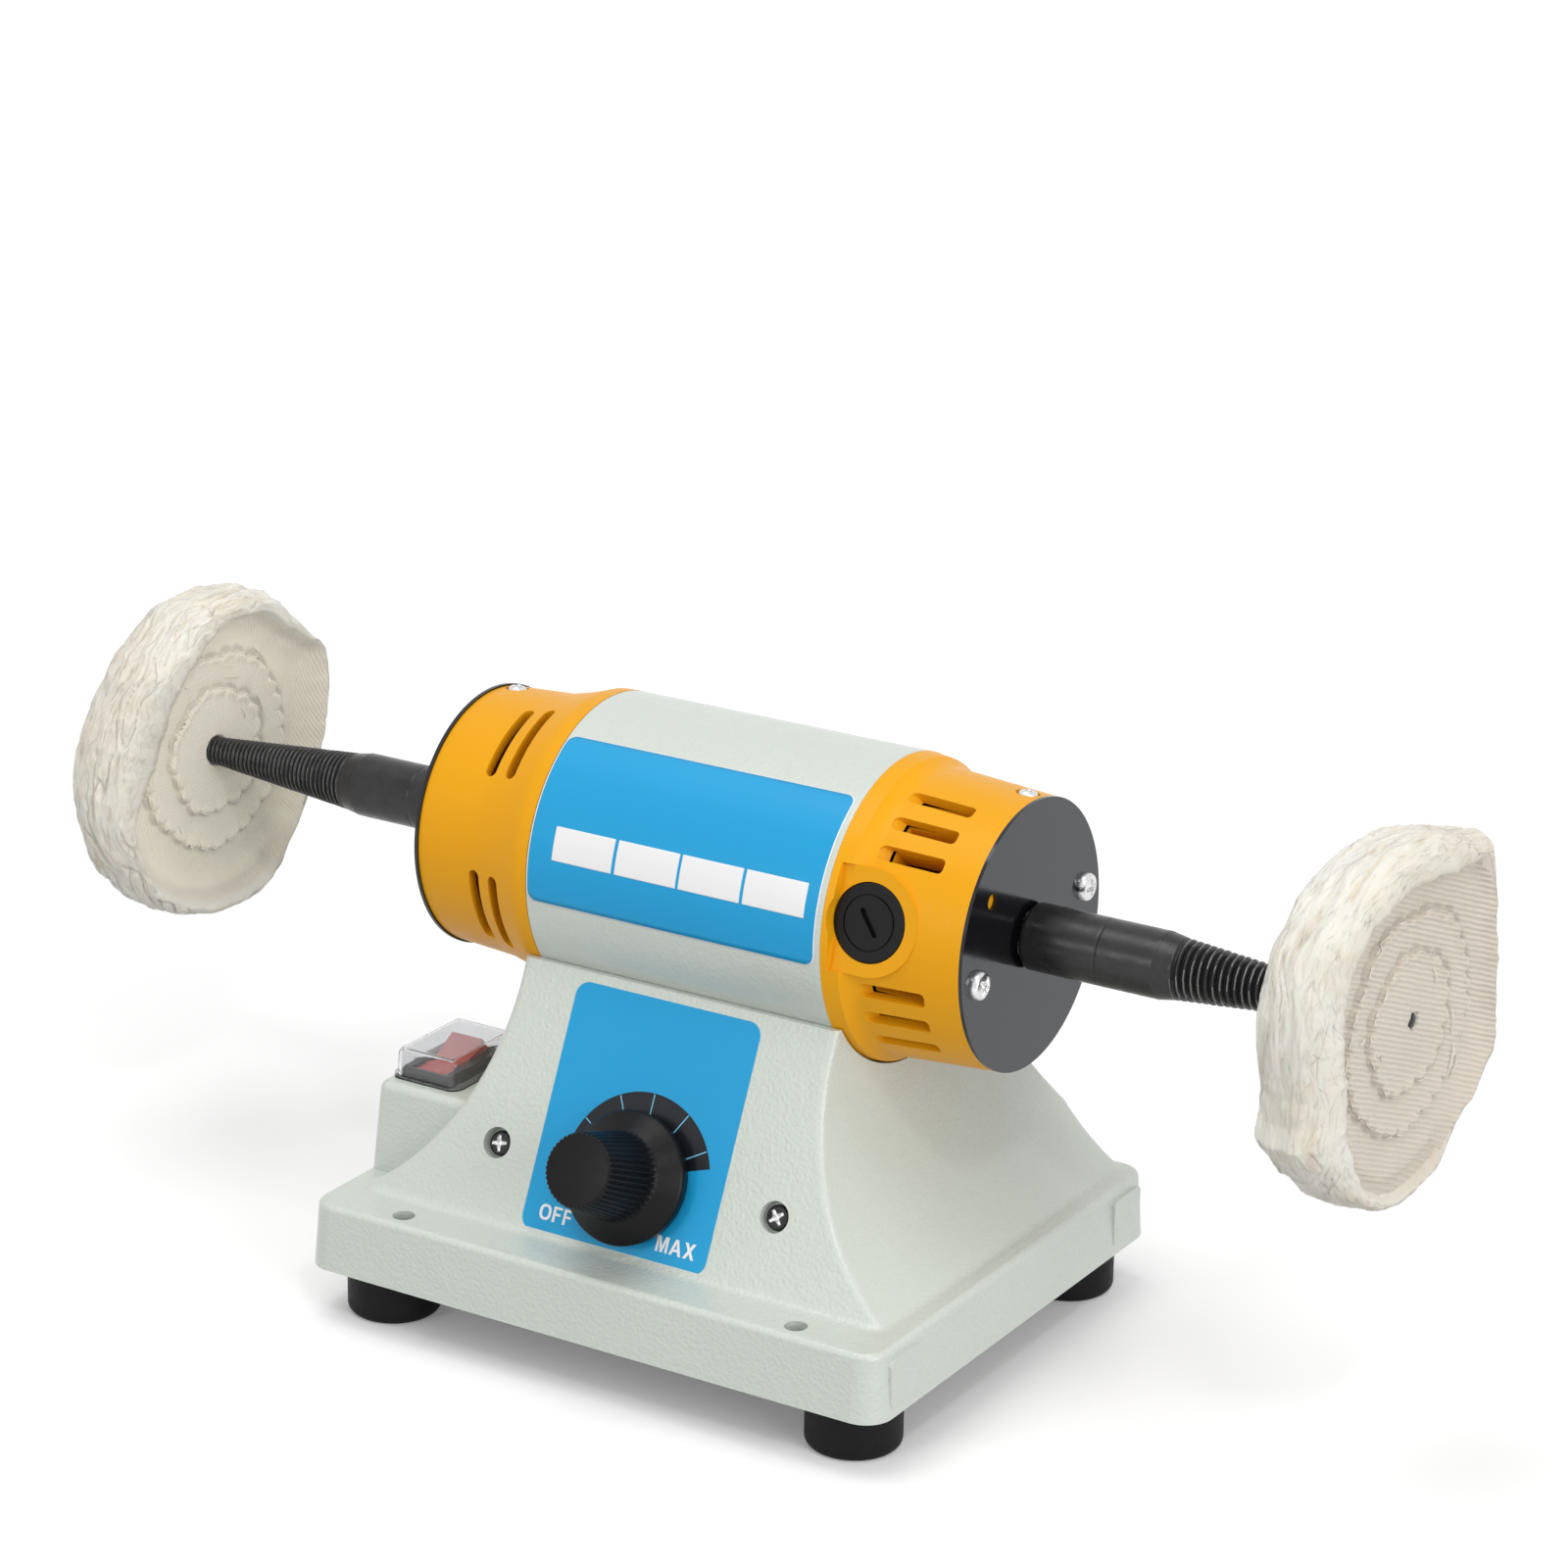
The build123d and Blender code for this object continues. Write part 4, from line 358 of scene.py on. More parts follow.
# Fluff: light passes a little way in, and darker streaks run round the rim
soft = Paint("cotton_fluff", (0.82, 0.79, 0.70), 0.95, Subsurface_Weight=0.55,
             Subsurface_Scale=0.0022, Subsurface_Radius=(1.0, 0.92, 0.78))
streaks = soft.noise(55, 4, 0.62, 0.5, vector=soft.scaled((7, 1, 1)))
tufts = soft.noise(32, 3, 0.6, 0.3)
wisps = soft.noise(150, 5, 0.7, 0.6, vector=soft.scaled((6, 1, 1)))
pale_cotton = soft.mix(soft.spread(tufts, 0.35, 0.65), (0.745, 0.71, 0.62), (0.78, 0.765, 0.705))
stains = soft.spread(soft.noise(17, 2, 0.5, 0.4), 0.5, 0.76, 0.0, 0.55)
pale_cotton = soft.mix(stains, pale_cotton, (0.60, 0.52, 0.42))
soft.paint(soft.mix(soft.spread(streaks, 0.28, 0.46), (0.68, 0.61, 0.49), pale_cotton))
soft.rough(tufts, 0.03)
soft.bump(streaks, 0.38, 0.0006)
soft.bump(wisps, 0.32, 0.0003)
soft.bump(soft.noise(900, 3, 0.7), 0.4, 0.0001)
fluff = soft.mat
thread = moulded("sewing_thread", (0.90, 0.87, 0.80), 0.8, 2500, 0.0001, 0.2)

# Finishes, each with parts of the names of its CAD nodes
FINISHES = (
    (casting_paint, "base_casting"),
    (drum_paint, "motor_case"),
    (black_sheet, "bottom_cover"),
    (rubber, "foot_front foot_rear cord_gland"),
    (zinc, "foot_washers foot_screws case_bolts tie_rods lock_screws panel_screw_nuts "
           "potentiometer_nut potentiometer_shaft motor_shaft plate_screws"),
    (yellow, "end_housing"),
    (plate_black, "end_plate"),
    (blackened, "spindle panel_screws"),
    (bearing_steel, "bearing"),
    (lamination, "stator_core armature_core"),
    (copper, "field_coils armature_winding commutator"),
    (brass, "brush_holder switch_terminals"),
    (carbon, "carbon_brush"),
    (spring_steel, "brush_spring"),
    (knob_black, "speed_knob"),
    (cap_black, "brush_cap cooling_fan potentiometer_body"),
    (switch_black, "switch_body"),
    (red, "switch_rocker"),
    (clear, "switch_cover"),
    (board_green, "control_board"),
    (component, "capacitor triac"),
    (ferrite, "choke"),
    (aluminium, "heat_sink"),
    (twill_right_painted_shade, "right_buff"),
    (twill_left_painted_light, "left_buff"),
)
for finish, parts in FINISHES:
    for name, node in nodes.items():
        if not any(part in name for part in parts.split()):
            continue
        rows = node.data.materials
        if not len(rows):
            rows.append(finish)
        for row in range(len(rows)):
            rows[row] = finish


# Pieces

def mesh_piece(name, verts, faces, materials, body, picks=None, smooth=True):
    """A mesh from points in millimetres that rides on a CAD body."""
    mesh = bpy.data.meshes.new(name)
    mesh.from_pydata((np.asarray(verts, float) * MM).tolist(), [], faces)
    for material in materials if isinstance(materials, (list, tuple)) else [materials]:
        mesh.materials.append(material)
    mesh.polygons.foreach_set("use_smooth", [smooth] * len(mesh.polygons))
    if picks is not None:
        mesh.polygons.foreach_set("material_index", picks)
    mesh.update()
    piece = add(name, mesh)
    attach(piece, body)
    return piece


def circle_point(centre, side, other, r, angle):
    return centre + side * (r * cos(angle)) + other * (r * sin(angle))


def grid_faces(rows, columns, close_rows=False, close_columns=False, start=0):
    """Quads over a grid of points stored row by row."""
    faces = []
    for i in range(rows if close_rows else rows - 1):
        for j in range(columns if close_columns else columns - 1):
            a, b = start + i * columns + j, start + i * columns + (j + 1) % columns
            c = start + ((i + 1) % rows) * columns + (j + 1) % columns
            d = start + ((i + 1) % rows) * columns + j
            faces.append((a, b, c, d))
    return faces


# Spindles: plain shank, chamfer, then a thread along the taper, with painted shade in its valleys
THREAD_PITCH, THREAD_DEPTH = (1.6, 2.0), (0.75, 0.95)
AROUND, PER_TURN, ROOT_FILLET, RING = 96, 12, 1.3, 109.5
CHAMFER = (SHANK_R - TAPER_ROOT_R) / STEP_L
for side, sign, row in SIDES:
    # Rows round the spindle: distance from the middle, radius, depth of the thread
    step, tip = STEPS[row], TIPS[row]
    marks = [(ROOT_X, 0.02, 0.0), (ROOT_X, SHANK_R - ROOT_FILLET - 0.3, 0.0)]
    for bend in np.radians(np.linspace(0, 90, 8)):
        marks.append((ROOT_X + ROOT_FILLET * (1 - cos(bend)),
                      SHANK_R - ROOT_FILLET * (1 - sin(bend)), 0.0))
    for x, r in ((ROOT_X + ROOT_FILLET + 0.4, SHANK_R), (RING - 0.8, SHANK_R),
                 (RING - 0.3, SHANK_R), (RING, SHANK_R - 0.12), (RING + 0.3, SHANK_R),
                 (RING + 0.8, SHANK_R), (step - 0.7, SHANK_R), (step - 0.2, SHANK_R),
                 (step, SHANK_R - 0.08), (step + 0.5, SHANK_R - 0.08 - 0.5 * CHAMFER),
                 (step + STEP_L - 0.4, TAPER_ROOT_R + 0.4 * CHAMFER),
                 (step + STEP_L, TAPER_ROOT_R)):
        marks.append((x, r, 0.0))
    length = tip - TIP_L - (step + STEP_L)
    count = int(length / THREAD_PITCH[row] * PER_TURN)
    for k in range(1, count + 1):
        x = step + STEP_L + length * k / count
        depth = THREAD_DEPTH[row] * min(1, k / PER_TURN)
        marks.append((x, TAPER_ROOT_R - TAPER * (x - step - STEP_L), depth))
    end_r = marks[-1][1]
    marks += [(tip - 1.2, end_r - 0.5, 0.0), (tip - 0.3, 1.6, 0.0),
              (tip, 0.6, 0.0), (tip, 0.02, 0.0)]

    # painted shade goes on the thread's valleys and the root beside the plate; worn tips get
    # lighter steel, wear with a painted highlight
    verts, in_painted_shade, worn_and_highlit = [], [], []
    for x, r, depth in marks:
        for j in range(AROUND):
            angle = 2 * pi * j / AROUND
            wave = 0.5 - 0.5 * cos(2 * pi * x / THREAD_PITCH[row] - sign * angle)
            worn = 0.08 * noise.noise(Vector((x * 0.3, cos(angle) * 2, sin(angle) * 2)))
            deep = r - depth * wave ** 1.4 - (worn if depth else 0.0)
            in_painted_shade.append(x < ROOT_X + 0.7 * ROOT_FILLET or depth * wave > 0.62 * THREAD_DEPTH[row])
            worn_and_highlit.append(depth > 0.3 and wave < 0.08 and worn > -0.015)
            verts.append((sign * x, SHAFT_Y + deep * cos(angle), SHAFT_Z + deep * sin(angle)))
    faces = grid_faces(len(marks), AROUND, close_columns=True)
    picks = [1 if in_painted_shade[face[0]] and in_painted_shade[face[2]] else
             2 if worn_and_highlit[face[0]] and worn_and_highlit[face[1]] else 0 for face in faces]
    if sign > 0:
        faces = [face[::-1] for face in faces]
    spindle = mesh_piece(f"{side}_threaded_spindle", verts, faces,
                         [blackened, painted_shade_steel, worn_crest_highlight], "rotor", picks)
    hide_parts(f"{side}_spindle")


# Moulded end housings: the cooling slots get the round ends and width of a moulding
def tube(stations):
    """Closed mesh through four-cornered sections."""
    verts = [corner for section in stations for corner in section]
    last = 4 * (len(stations) - 1)
    sides = [(a, d, c, b) for a, b, c, d in grid_faces(len(stations), 4, close_columns=True)]
    return verts, [(0, 1, 2, 3), *sides, (last + 3, last + 2, last + 1, last)]


def drum_point(x, r, angle, aside=0.0):
    """Point at a radius and an angle above the front, moved aside round the shaft."""
    c, s = cos(angle), sin(angle)
    return Vector((x, SHAFT_Y - r * c + aside * s, SHAFT_Z + r * s + aside * c))


def round_end(distance, radius):
    """Half width left at a distance from a round end, as a share of the radius."""
    gap = min(max(distance / radius, 0.0), 1.0)
    return sqrt(max(0.0, 1 - (1 - gap) ** 2))


SLOT_ANGLES = [radians(brush + swing) for brush in (BRUSH_ANGLE, BRUSH_ANGLE + 180)
               for swing in (-56.0, -41.5, -28.0, 28.0, 41.5, 56.0)]
SLOT_LAST, SLOT_HALF, SLOT_END_R = 75.4, 2.1, 1.3


def slot_cutters():
    """Right housing: three scooped slots either side of each brush."""
    first, last, half, end_r, tip_r = 56.4, SLOT_LAST, SLOT_HALF, SLOT_END_R, 2.0
    low, high, top, ramp = 32.9, 38.9, 43.5, (first, 60.9)
    quarter = pi / 2
    spots = np.unique(np.concatenate([first + tip_r * (1 - np.cos(np.linspace(0, quarter, 9))),
                                      np.linspace(first + tip_r + 0.4, last - end_r - 0.4, 12),
                                      last - end_r * (1 - np.sin(np.linspace(0, quarter, 8)))]))
    for angle in SLOT_ANGLES:
        stations = []
        for x in spots:
            wide = half - tip_r + tip_r * round_end(x - first, tip_r)
            wide = min(wide, half - end_r + end_r * round_end(last - x, end_r))
            bottom = float(np.interp(x, ramp, (high, low)))
            stations.append([drum_point(x, r, angle, aside) for r, aside in
                             ((bottom, -wide), (bottom, wide), (top, wide), (top, -wide))])
        yield tube(stations)


def groove_cutters():
    """Left housing: pairs of grooves that follow the round wall."""
    half, middle_r, low, high = 1.75, 36.4, 29.5, 45.0
    quarter, blunt = pi / 2, 0.12
    for x in (19.2 - HOUSING_END, 26.4 - HOUSING_END):
        for first, width in ((39.0, 35.0), (-38.5, 34.5)):
            for turn in (0, 180):
                start = radians(first + turn) * middle_r - 0.8
                end = radians(first + width + turn) * middle_r + 0.8
                spots = np.concatenate([
                    start + half * (1 - np.cos(np.linspace(blunt, quarter, 8))),
                    np.linspace(start + half + 0.3, end - half - 0.3, 22),
                    end - half * (1 - np.sin(np.linspace(0, quarter - blunt, 8)))])
                stations = []
                for along in np.unique(spots):
                    wide = half * min(round_end(along - start, half), round_end(end - along, half))
                    a = along / middle_r
                    stations.append([drum_point(x + off, r, a) for off, r in
                                     ((-wide, low), (wide, low), (wide, high), (-wide, high))])
                yield tube(stations)


def joined(parts):
    """One list of points and one of faces from several pairs of them."""
    verts, faces = [], []
    for points, quads in parts:
        faces += [tuple(len(verts) + k for k in quad) for quad in quads]
        verts += points
    return verts, faces


def reworked(mesh, work):
    """Runs one bmesh operation on a mesh."""
    edit = bmesh.new()
    edit.from_mesh(mesh)
    work(edit)
    edit.to_mesh(mesh)
    edit.free()


def shell(side, cutters, material):
    """Copy of an end housing with its openings reworked, in the housing's place."""
    verts, faces = joined(cutters)
    cutter_mesh = bpy.data.meshes.new("cutter")
    cutter_mesh.from_pydata((np.array([tuple(v) for v in verts]) * MM).tolist(), [], faces)
    reworked(cutter_mesh, lambda edit: bmesh.ops.recalc_face_normals(edit, faces=edit.faces))
    cutter = add("cutter", cutter_mesh)
    solid = nodes[f"{side}_end_housing"].data.copy()
    for spare in ("custom_normal", "sharp_face", "sharp_edge"):
        if spare in solid.attributes:
            solid.attributes.remove(solid.attributes[spare])
    reworked(solid, lambda edit: bmesh.ops.remove_doubles(edit, verts=edit.verts, dist=1e-6))
    piece = add(f"{side}_moulded_housing", solid)
    carve = piece.modifiers.new("openings", "BOOLEAN")
    carve.operation, carve.solver, carve.object = "DIFFERENCE", "EXACT", cutter
    graph = bpy.context.evaluated_depsgraph_get()
    graph.update()
    carved = bpy.data.meshes.new_from_object(piece.evaluated_get(graph))
    piece.modifiers.clear()
    piece.data = carved
    bpy.data.objects.remove(cutter)
    carved.materials.clear()
    carved.materials.append(material)
    carved.polygons.foreach_set("material_index", [0] * len(carved.polygons))
    carved.polygons.foreach_set("use_smooth", [True] * len(carved.polygons))
    carved.set_sharp_from_angle(angle=radians(32))
    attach(piece, "frame")
    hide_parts(f"{side}_end_housing")


def slot_walls():
    """Right housing: the moulded walls that carry each slot further in."""
    verts, faces = [], []
    first, last, end_r, wall, low, high = 59.3, SLOT_LAST, SLOT_END_R, 0.35, 27.6, 34.6
    bends = np.linspace(0.2, pi / 2, 7)
    xs = np.concatenate([np.linspace(first, 73.6, 8), last - end_r * (1 - np.sin(bends))])
    half = [SLOT_HALF - end_r + end_r * round_end(last - x, end_r) for x in xs]
    loop = list(zip(xs, half)) + [(x, -wide) for x, wide in zip(xs[::-1], half[::-1])]
    for angle in SLOT_ANGLES:
        start = len(verts)
        for x, wide in loop:
            past_x = x + (wall if x > last - end_r else -wall if x < first + 0.2 else 0.0)
            past = wide + copysign(wall, wide)
            verts += [drum_point(x, high, angle, wide), drum_point(x, low, angle, wide),
                      drum_point(past_x, low, angle, past), drum_point(past_x, high, angle, past)]
        faces += grid_faces(len(loop), 4, close_rows=True, close_columns=True, start=start)
    walls = mesh_piece("right_slot_walls", verts, faces, yellow, "frame", smooth=False)


slot_walls()
shell("right", slot_cutters(), yellow)
shell("left", groove_cutters(), yellow)

# Front brush cap, screwed in until its slot stands aslant
cap_mesh = nodes["front_brush_cap"].data.copy()
cap_axis = Vector((0, -cos(radians(BRUSH_ANGLE)), sin(radians(BRUSH_ANGLE))))
cap_middle, cap_turn = Vector((58.6, SHAFT_Y, SHAFT_Z)) * MM, radians(27)
cap_mesh.transform(Matrix.Translation(cap_middle) @ Matrix.Rotation(cap_turn, 4, cap_axis)
                   @ Matrix.Translation(-cap_middle))
cap = add("front_slotted_cap", cap_mesh)
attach(cap, "frame")
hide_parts("front_brush_cap")

# Brush springs: copies of the CAD springs in their place
for place, outward in (("front", cap_axis), ("rear", -cap_axis)):
    coils = nodes[f"{place}_brush_spring"].data.copy()
    spring = add(f"{place}_brush_coils", coils)
    reach = [point.co.dot(outward) for point in coils.vertices]
    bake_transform(spring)
    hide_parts(f"{place}_brush_spring")


# Cross-recess screw heads
def screw_head(centre, out, radius, height, turn):
    """Points, faces and material rows of a pan head with a cross recess, closed underneath."""
    centre, out = Vector(centre), Vector(out).normalized()
    side = out.orthogonal().normalized()
    other = out.cross(side)
    rings, around = 30, 128
    verts, deep = [], []
    for i in range(rings + 1):
        share = i / rings
        r = radius * share
        dome = height * (1 - 0.42 * share ** 2.4)
        if share > 0.84:
            dome *= sqrt(max(0.0, 1 - ((share - 0.84) / 0.165) ** 2))
        for j in range(around):
            angle = 2 * pi * j / around
            u, v = abs(r * cos(angle)) / radius, abs(r * sin(angle)) / radius
            narrow, long = min(u, v), max(u, v)
            arm = 1 / (1 + exp((narrow - 0.15 + 0.06 * long) * 60))
            reach = 1 / (1 + exp((long - 0.60) * 40))
            core = 1 / (1 + exp((hypot(u, v) - 0.24) * 40))
            depth = height * (0.45 * arm * reach * (1 - 0.5 * long) + 0.25 * core)
            deep.append(depth > 0.12 * height)
            verts.append(circle_point(centre + out * (dome - depth), side, other, r, angle + turn))
    for j in range(around):
        verts.append(circle_point(centre, side, other, radius, 2 * pi * j / around + turn))
    faces = grid_faces(rings + 2, around, close_columns=True)
    picks = [1 if recess else 0 for recess in deep[:rings * around]] + [0] * around
    return verts, faces, picks


def screws(name, heads, materials, node):
    """One piece of several heads in the place of a CAD node; the second material is the recess."""
    made = [screw_head(*head) for head in heads]
    verts, faces = joined(head[:2] for head in made)
    picks = [pick for head in made for pick in head[2]]
    piece = mesh_piece(name, verts, faces, materials, "frame", picks)
    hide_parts(node)


screws("plate_screw_heads",
       [((sign * (HOUSING_END + 1.0), SHAFT_Y + turn * 28.5, SHAFT_Z + turn * 5.0), (sign, 0, 0),
         4.0, 2.6, 0.5 + turn * 0.4)
        for sign in (-1, 1) for turn in (-1, 1)],
       [zinc, zinc], "plate_screws")
panel_spots = [PANEL_FOOT + PANEL_UP * DIAL_UP + Vector((x, 0, 0)) - PANEL_OUT * 3.0
               for x in (-44.3, 44.3)]
screws("panel_screw_heads",
       [(spot, PANEL_OUT, 3.6, 2.2, 0.9 + k * 0.5) for k, spot in enumerate(panel_spots)],
       [blackened, zinc], "panel_screws")
LOCK_ANGLE = radians(97.9)
LOCK_OUT = Vector((0, -cos(LOCK_ANGLE), sin(LOCK_ANGLE)))
screws("lock_screw_heads",
       [(Vector((x, SHAFT_Y, SHAFT_Z)) + LOCK_OUT * seat, LOCK_OUT, 2.9, 3.2, 0.3)
        for x, seat in ((4.3 - HOUSING_END, 34.5), (HOUSING_END - 4.3, 35.1))],
       [zinc, zinc], "lock_screws")


# Labels: thin stickers on the drum and on the sloped panel
def drum_sticker(name, x0, x1, low, high, corner, lift, material):
    """Sticker on the drum between two distances and two angles above the front."""
    wide, radius, steps = x1 - x0, CASE_R + lift, 34
    xs = np.unique(np.concatenate([np.linspace(0, corner, 9),
                                   np.linspace(corner, wide - corner, 24),
                                   np.linspace(wide - corner, wide, 9)]))
    verts = []
    for x in xs:
        near = min(x, wide - x)
        cut = corner - sqrt(max(0.0, corner ** 2 - max(0.0, corner - near) ** 2))
        inset = degrees(cut / radius)
        for angle in np.radians(np.linspace(low + inset, high - inset, steps)):
            verts.append(drum_point(x0 + x, radius, angle))
    piece = mesh_piece(name, verts, grid_faces(len(xs), steps), material, "frame")
    thick = piece.modifiers.new("thickness", "SOLIDIFY")
    thick.thickness = 0.06 * MM


drum_sticker("drum_label_edge", -45.6, 45.3, -6.5, 60.2, 3.0, 0.06, label_white)
drum_sticker("drum_label", -45.2, 44.9, -6.0, 59.7, 2.8, 0.11, label_blue)
for k, (x0, x1) in enumerate(((-37.8, -18.8), (-17.7, 1.6), (2.5, 21.5), (22.5, 41.4))):
    drum_sticker(f"drum_label_field_{k + 1}", x0, x1, 10.9, 23.6, 0.05, 0.16, label_white)


def on_panel(x, up, lift):
    """Point of the sloped panel: aside, up the slope and out of it."""
    return PANEL_FOOT + PANEL_UP * up + PANEL_OUT * lift + Vector((x, 0, 0))


def panel_sticker(name, outline, lift, material, thick=0.05):
    """Flat sticker on the sloped panel from its outline in panel coordinates."""
    verts = [on_panel(x, up, level) for level in (lift, lift - thick) for x, up in outline]
    count = len(outline)
    faces = [tuple(range(count)), tuple(range(2 * count - 1, count - 1, -1))]
    faces += [(k, k + count, (k + 1) % count + count, (k + 1) % count) for k in range(count)]
    piece = mesh_piece(name, verts, faces, material, "frame", smooth=False)


def rounded(x0, y0, x1, y1, radius):
    """Outline of a rectangle with round corners."""
    steps = 8
    corners = ((x1 - radius, y1 - radius, 0), (x0 + radius, y1 - radius, 90),
               (x0 + radius, y0 + radius, 180), (x1 - radius, y0 + radius, 270))
    return [(cx + radius * cos(radians(first + 90 * k / steps)),
             cy + radius * sin(radians(first + 90 * k / steps)))
            for cx, cy, first in corners for k in range(steps + 1)]


panel_sticker("panel_label", rounded(-31.0, 1.0, 27.7, 69.5, 4.0), 0.10, label_blue, 0.09)
DIAL, DIAL_R, TICK_HALF = Vector((0.5, 22.0)), 22.8, 0.15
arc = np.radians(np.linspace(18, 162, 73))
panel_sticker("dial_band",
              [(DIAL.x + r * cos(a), DIAL.y + r * sin(a))
               for r, turns in ((DIAL_R, arc), (12.0, arc[::-1])) for a in turns],
              0.14, dial_black)
for k, angle in enumerate((148, 117, 90, 59, 30)):
    along = Vector((cos(radians(angle)), sin(radians(angle))))
    across = Vector((-along.y, along.x)) * TICK_HALF
    near, far = DIAL + along * 13.5, DIAL + along * (DIAL_R - 0.2)
    panel_sticker(f"dial_tick_{k + 1}",
                  [near - across, far - across, far + across, near + across],
                  0.18, tick_blue)


def half_ring(first, width, stroke):
    """Half of a letter O of height 1, over half a turn from its first angle."""
    bends = np.linspace(first, first + pi, 17)

    def squared(value):
        return copysign(abs(value) ** 0.85, value)

    def bow(rx, ry, turns):
        return [(width / 2 + rx * squared(cos(t)), 0.5 + ry * squared(sin(t))) for t in turns]

    return bow(width / 2, 0.5, bends) + bow(width / 2 - stroke, 0.5 - stroke * 0.85, bends[::-1])


# Letters of height 1: width, and the outlines that make them up
LETTERS = {
    "O": (0.86, (half_ring(pi / 2, 0.86, 0.19), half_ring(-pi / 2, 0.86, 0.19))),
    "F": (0.64, (((0, 0), (0.19, 0), (0.19, 0.43), (0.56, 0.43), (0.56, 0.59), (0.19, 0.59),
                  (0.19, 0.84), (0.64, 0.84), (0.64, 1), (0, 1)),)),
    "M": (0.86, (((0, 0), (0.17, 0), (0.17, 0.74), (0.35, 0), (0.51, 0), (0.69, 0.74), (0.69, 0),
                  (0.86, 0), (0.86, 1), (0.60, 1), (0.43, 0.36), (0.26, 1), (0, 1)),)),
    "A": (0.86, (((0, 0), (0.19, 0), (0.26, 0.23), (0.43, 0.23), (0.43, 0.39), (0.32, 0.39),
                  (0.43, 0.76), (0.43, 1), (0.32, 1)),
                 ((0.43, 0.23), (0.60, 0.23), (0.67, 0), (0.86, 0), (0.54, 1), (0.43, 1),
                  (0.43, 0.76), (0.54, 0.39), (0.43, 0.39)))),
    "X": (0.82, (((0, 0), (0.22, 0), (0.41, 0.34), (0.60, 0), (0.82, 0), (0.53, 0.52), (0.80, 1),
                  (0.58, 1), (0.41, 0.69), (0.24, 1), (0.02, 1), (0.29, 0.52)),)),
}


def panel_word(name, text, x, up, size):
    """Generic word in bold letters on the panel, from its left end and base line."""
    for k, letter in enumerate(text):
        width, outlines = LETTERS[letter]
        for part, outline in enumerate(outlines):
            placed = [(x + px * size, up + py * size) for px, py in outline]
            panel_sticker(f"{name}_{k + 1}_{part + 1}", placed, 0.16, label_white)
        x += (width + 0.14) * size


panel_word("dial_word_off", "OFF", -25.9, 4.6, 4.3)
panel_word("dial_word_max", "MAX", 11.6, 4.6, 4.3)


# Speed knob: skirt, cone and a grip with flutes that run up to its face.
# Rows round it: height over the panel, radius, share of the flutes' depth.
FLUTES, FLUTE_DEPTH = 44, 0.62
KNOB_AROUND = 12 * FLUTES
knob_marks = [(1.2, 0.02, 0), (1.2, 17.2, 0), (1.7, 17.7, 0), (4.6, 18.2, 0), (5.1, 18.1, 0),
              (5.6, 17.6, 0), (8.8, 12.9, 0), (9.2, 12.45, 0)]
knob_marks += [(9.2 + 18.6 * t, 12.2 - 1.95 * t, min(1.0, 14 * t))
               for t in np.linspace(0.02, 1, 22)]
knob_marks += [(28.35, 10.15, 0.8), (28.7, 9.9, 0.45), (28.95, 9.5, 0.1), (29.0, 9.1, 0),
               (29.0, 0.02, 0)]
verts = []
for lift, r, cut in knob_marks:
    for j in range(KNOB_AROUND):
        angle = 2 * pi * j / KNOB_AROUND
        flute = (0.5 - 0.5 * cos(angle * FLUTES)) ** 1.6
        deep = r - FLUTE_DEPTH * cut * flute
        verts.append(on_panel(deep * cos(angle), DIAL_UP + deep * sin(angle), lift))
faces = [face[::-1] for face in grid_faces(len(knob_marks), KNOB_AROUND, close_columns=True)]
knob = mesh_piece("fluted_knob", verts, faces, knob_black, "knob")
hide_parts("speed_knob")


# Cloth buffs: sewn discs of many plies whose outer plies flare and curl over a soft frayed rim.
# near: where the seen face and the far one end, along the axis. rolls: middle, width and reach of
# rolled edges. bare: degrees between which the cloth runs out to the edge. Rows of an outline:
# angle, radius where the seen face ends, largest radius.
BUFFS = {
    "left": dict(
        sign=-1, hub=183.0, tilt=4.0, near=(-2.0, 16.8), row=0, seed=3.7, cloth=twill_left_painted_light,
        rolls=((112, 60, -2.6), (250, 45, -0.8)), slits=0.9, plies=0.2, cup=2.9, stitch=0.30,
        bare=(-62, 22),
        outline=(
            (4, 43.5, 45.5), (15, 46.5, 47.5), (26, 48.5, 49), (35, 45.8, 48), (48, 42.2, 47),
            (64, 43.3, 48), (77, 41.5, 46.5), (91, 39.6, 45), (104, 37, 45), (120, 33.5, 43),
            (137, 31, 43), (156, 30, 43.5), (175, 31, 45), (190, 37, 46), (199, 41, 46.3),
            (222, 45, 48), (238, 45.7, 48.5), (260, 46.5, 49), (282, 47, 49), (293, 47.5, 49),
            (300, 45.5, 47.5), (309, 41.5, 45), (324, 39, 44), (348, 41, 44.5)),
    ),
    "right": dict(
        sign=1, hub=178.6, tilt=6.0, near=(19.6, 1.6), row=1, seed=9.2, cloth=twill_right_painted_shade,
        rolls=((95, 40, 2.8), (215, 25, 0.8)), slits=0.25, plies=0.08, cup=0.6, stitch=0.16,
        bare=(-68, 44),
        outline=(
            (12, 37.5, 41), (28, 39.5, 43), (42, 43.8, 48.6), (51, 48.5, 53.6), (60, 44, 49.0),
            (73, 40, 48.3), (93, 40, 48.5), (110, 42.5, 50), (128, 43, 51.5), (145, 42.5, 53),
            (157, 40, 52.5), (167, 37.5, 51), (178, 35.5, 49), (189, 34, 47.5), (197, 34.5, 49),
            (203, 36, 52.5), (212, 38.5, 50), (226, 41, 48.2), (240, 44, 48), (255, 46, 48.5),
            (270, 45.6, 49), (288, 44.5, 47), (297, 41.5, 44), (304, 38.8, 42), (316, 40.2, 43),
            (334, 42.6, 45), (345, 40.5, 43.5), (357, 37, 40.5)),
    ),
}
BUFF_T = 18.5
SEWN = (18.0, 28.5)
SEWN_DROPS = (1.2, 1.5)
FRAY_AT = 0.93


def taper_radius(row, x):
    return TAPER_ROOT_R - TAPER * (x - STEPS[row] - STEP_L)


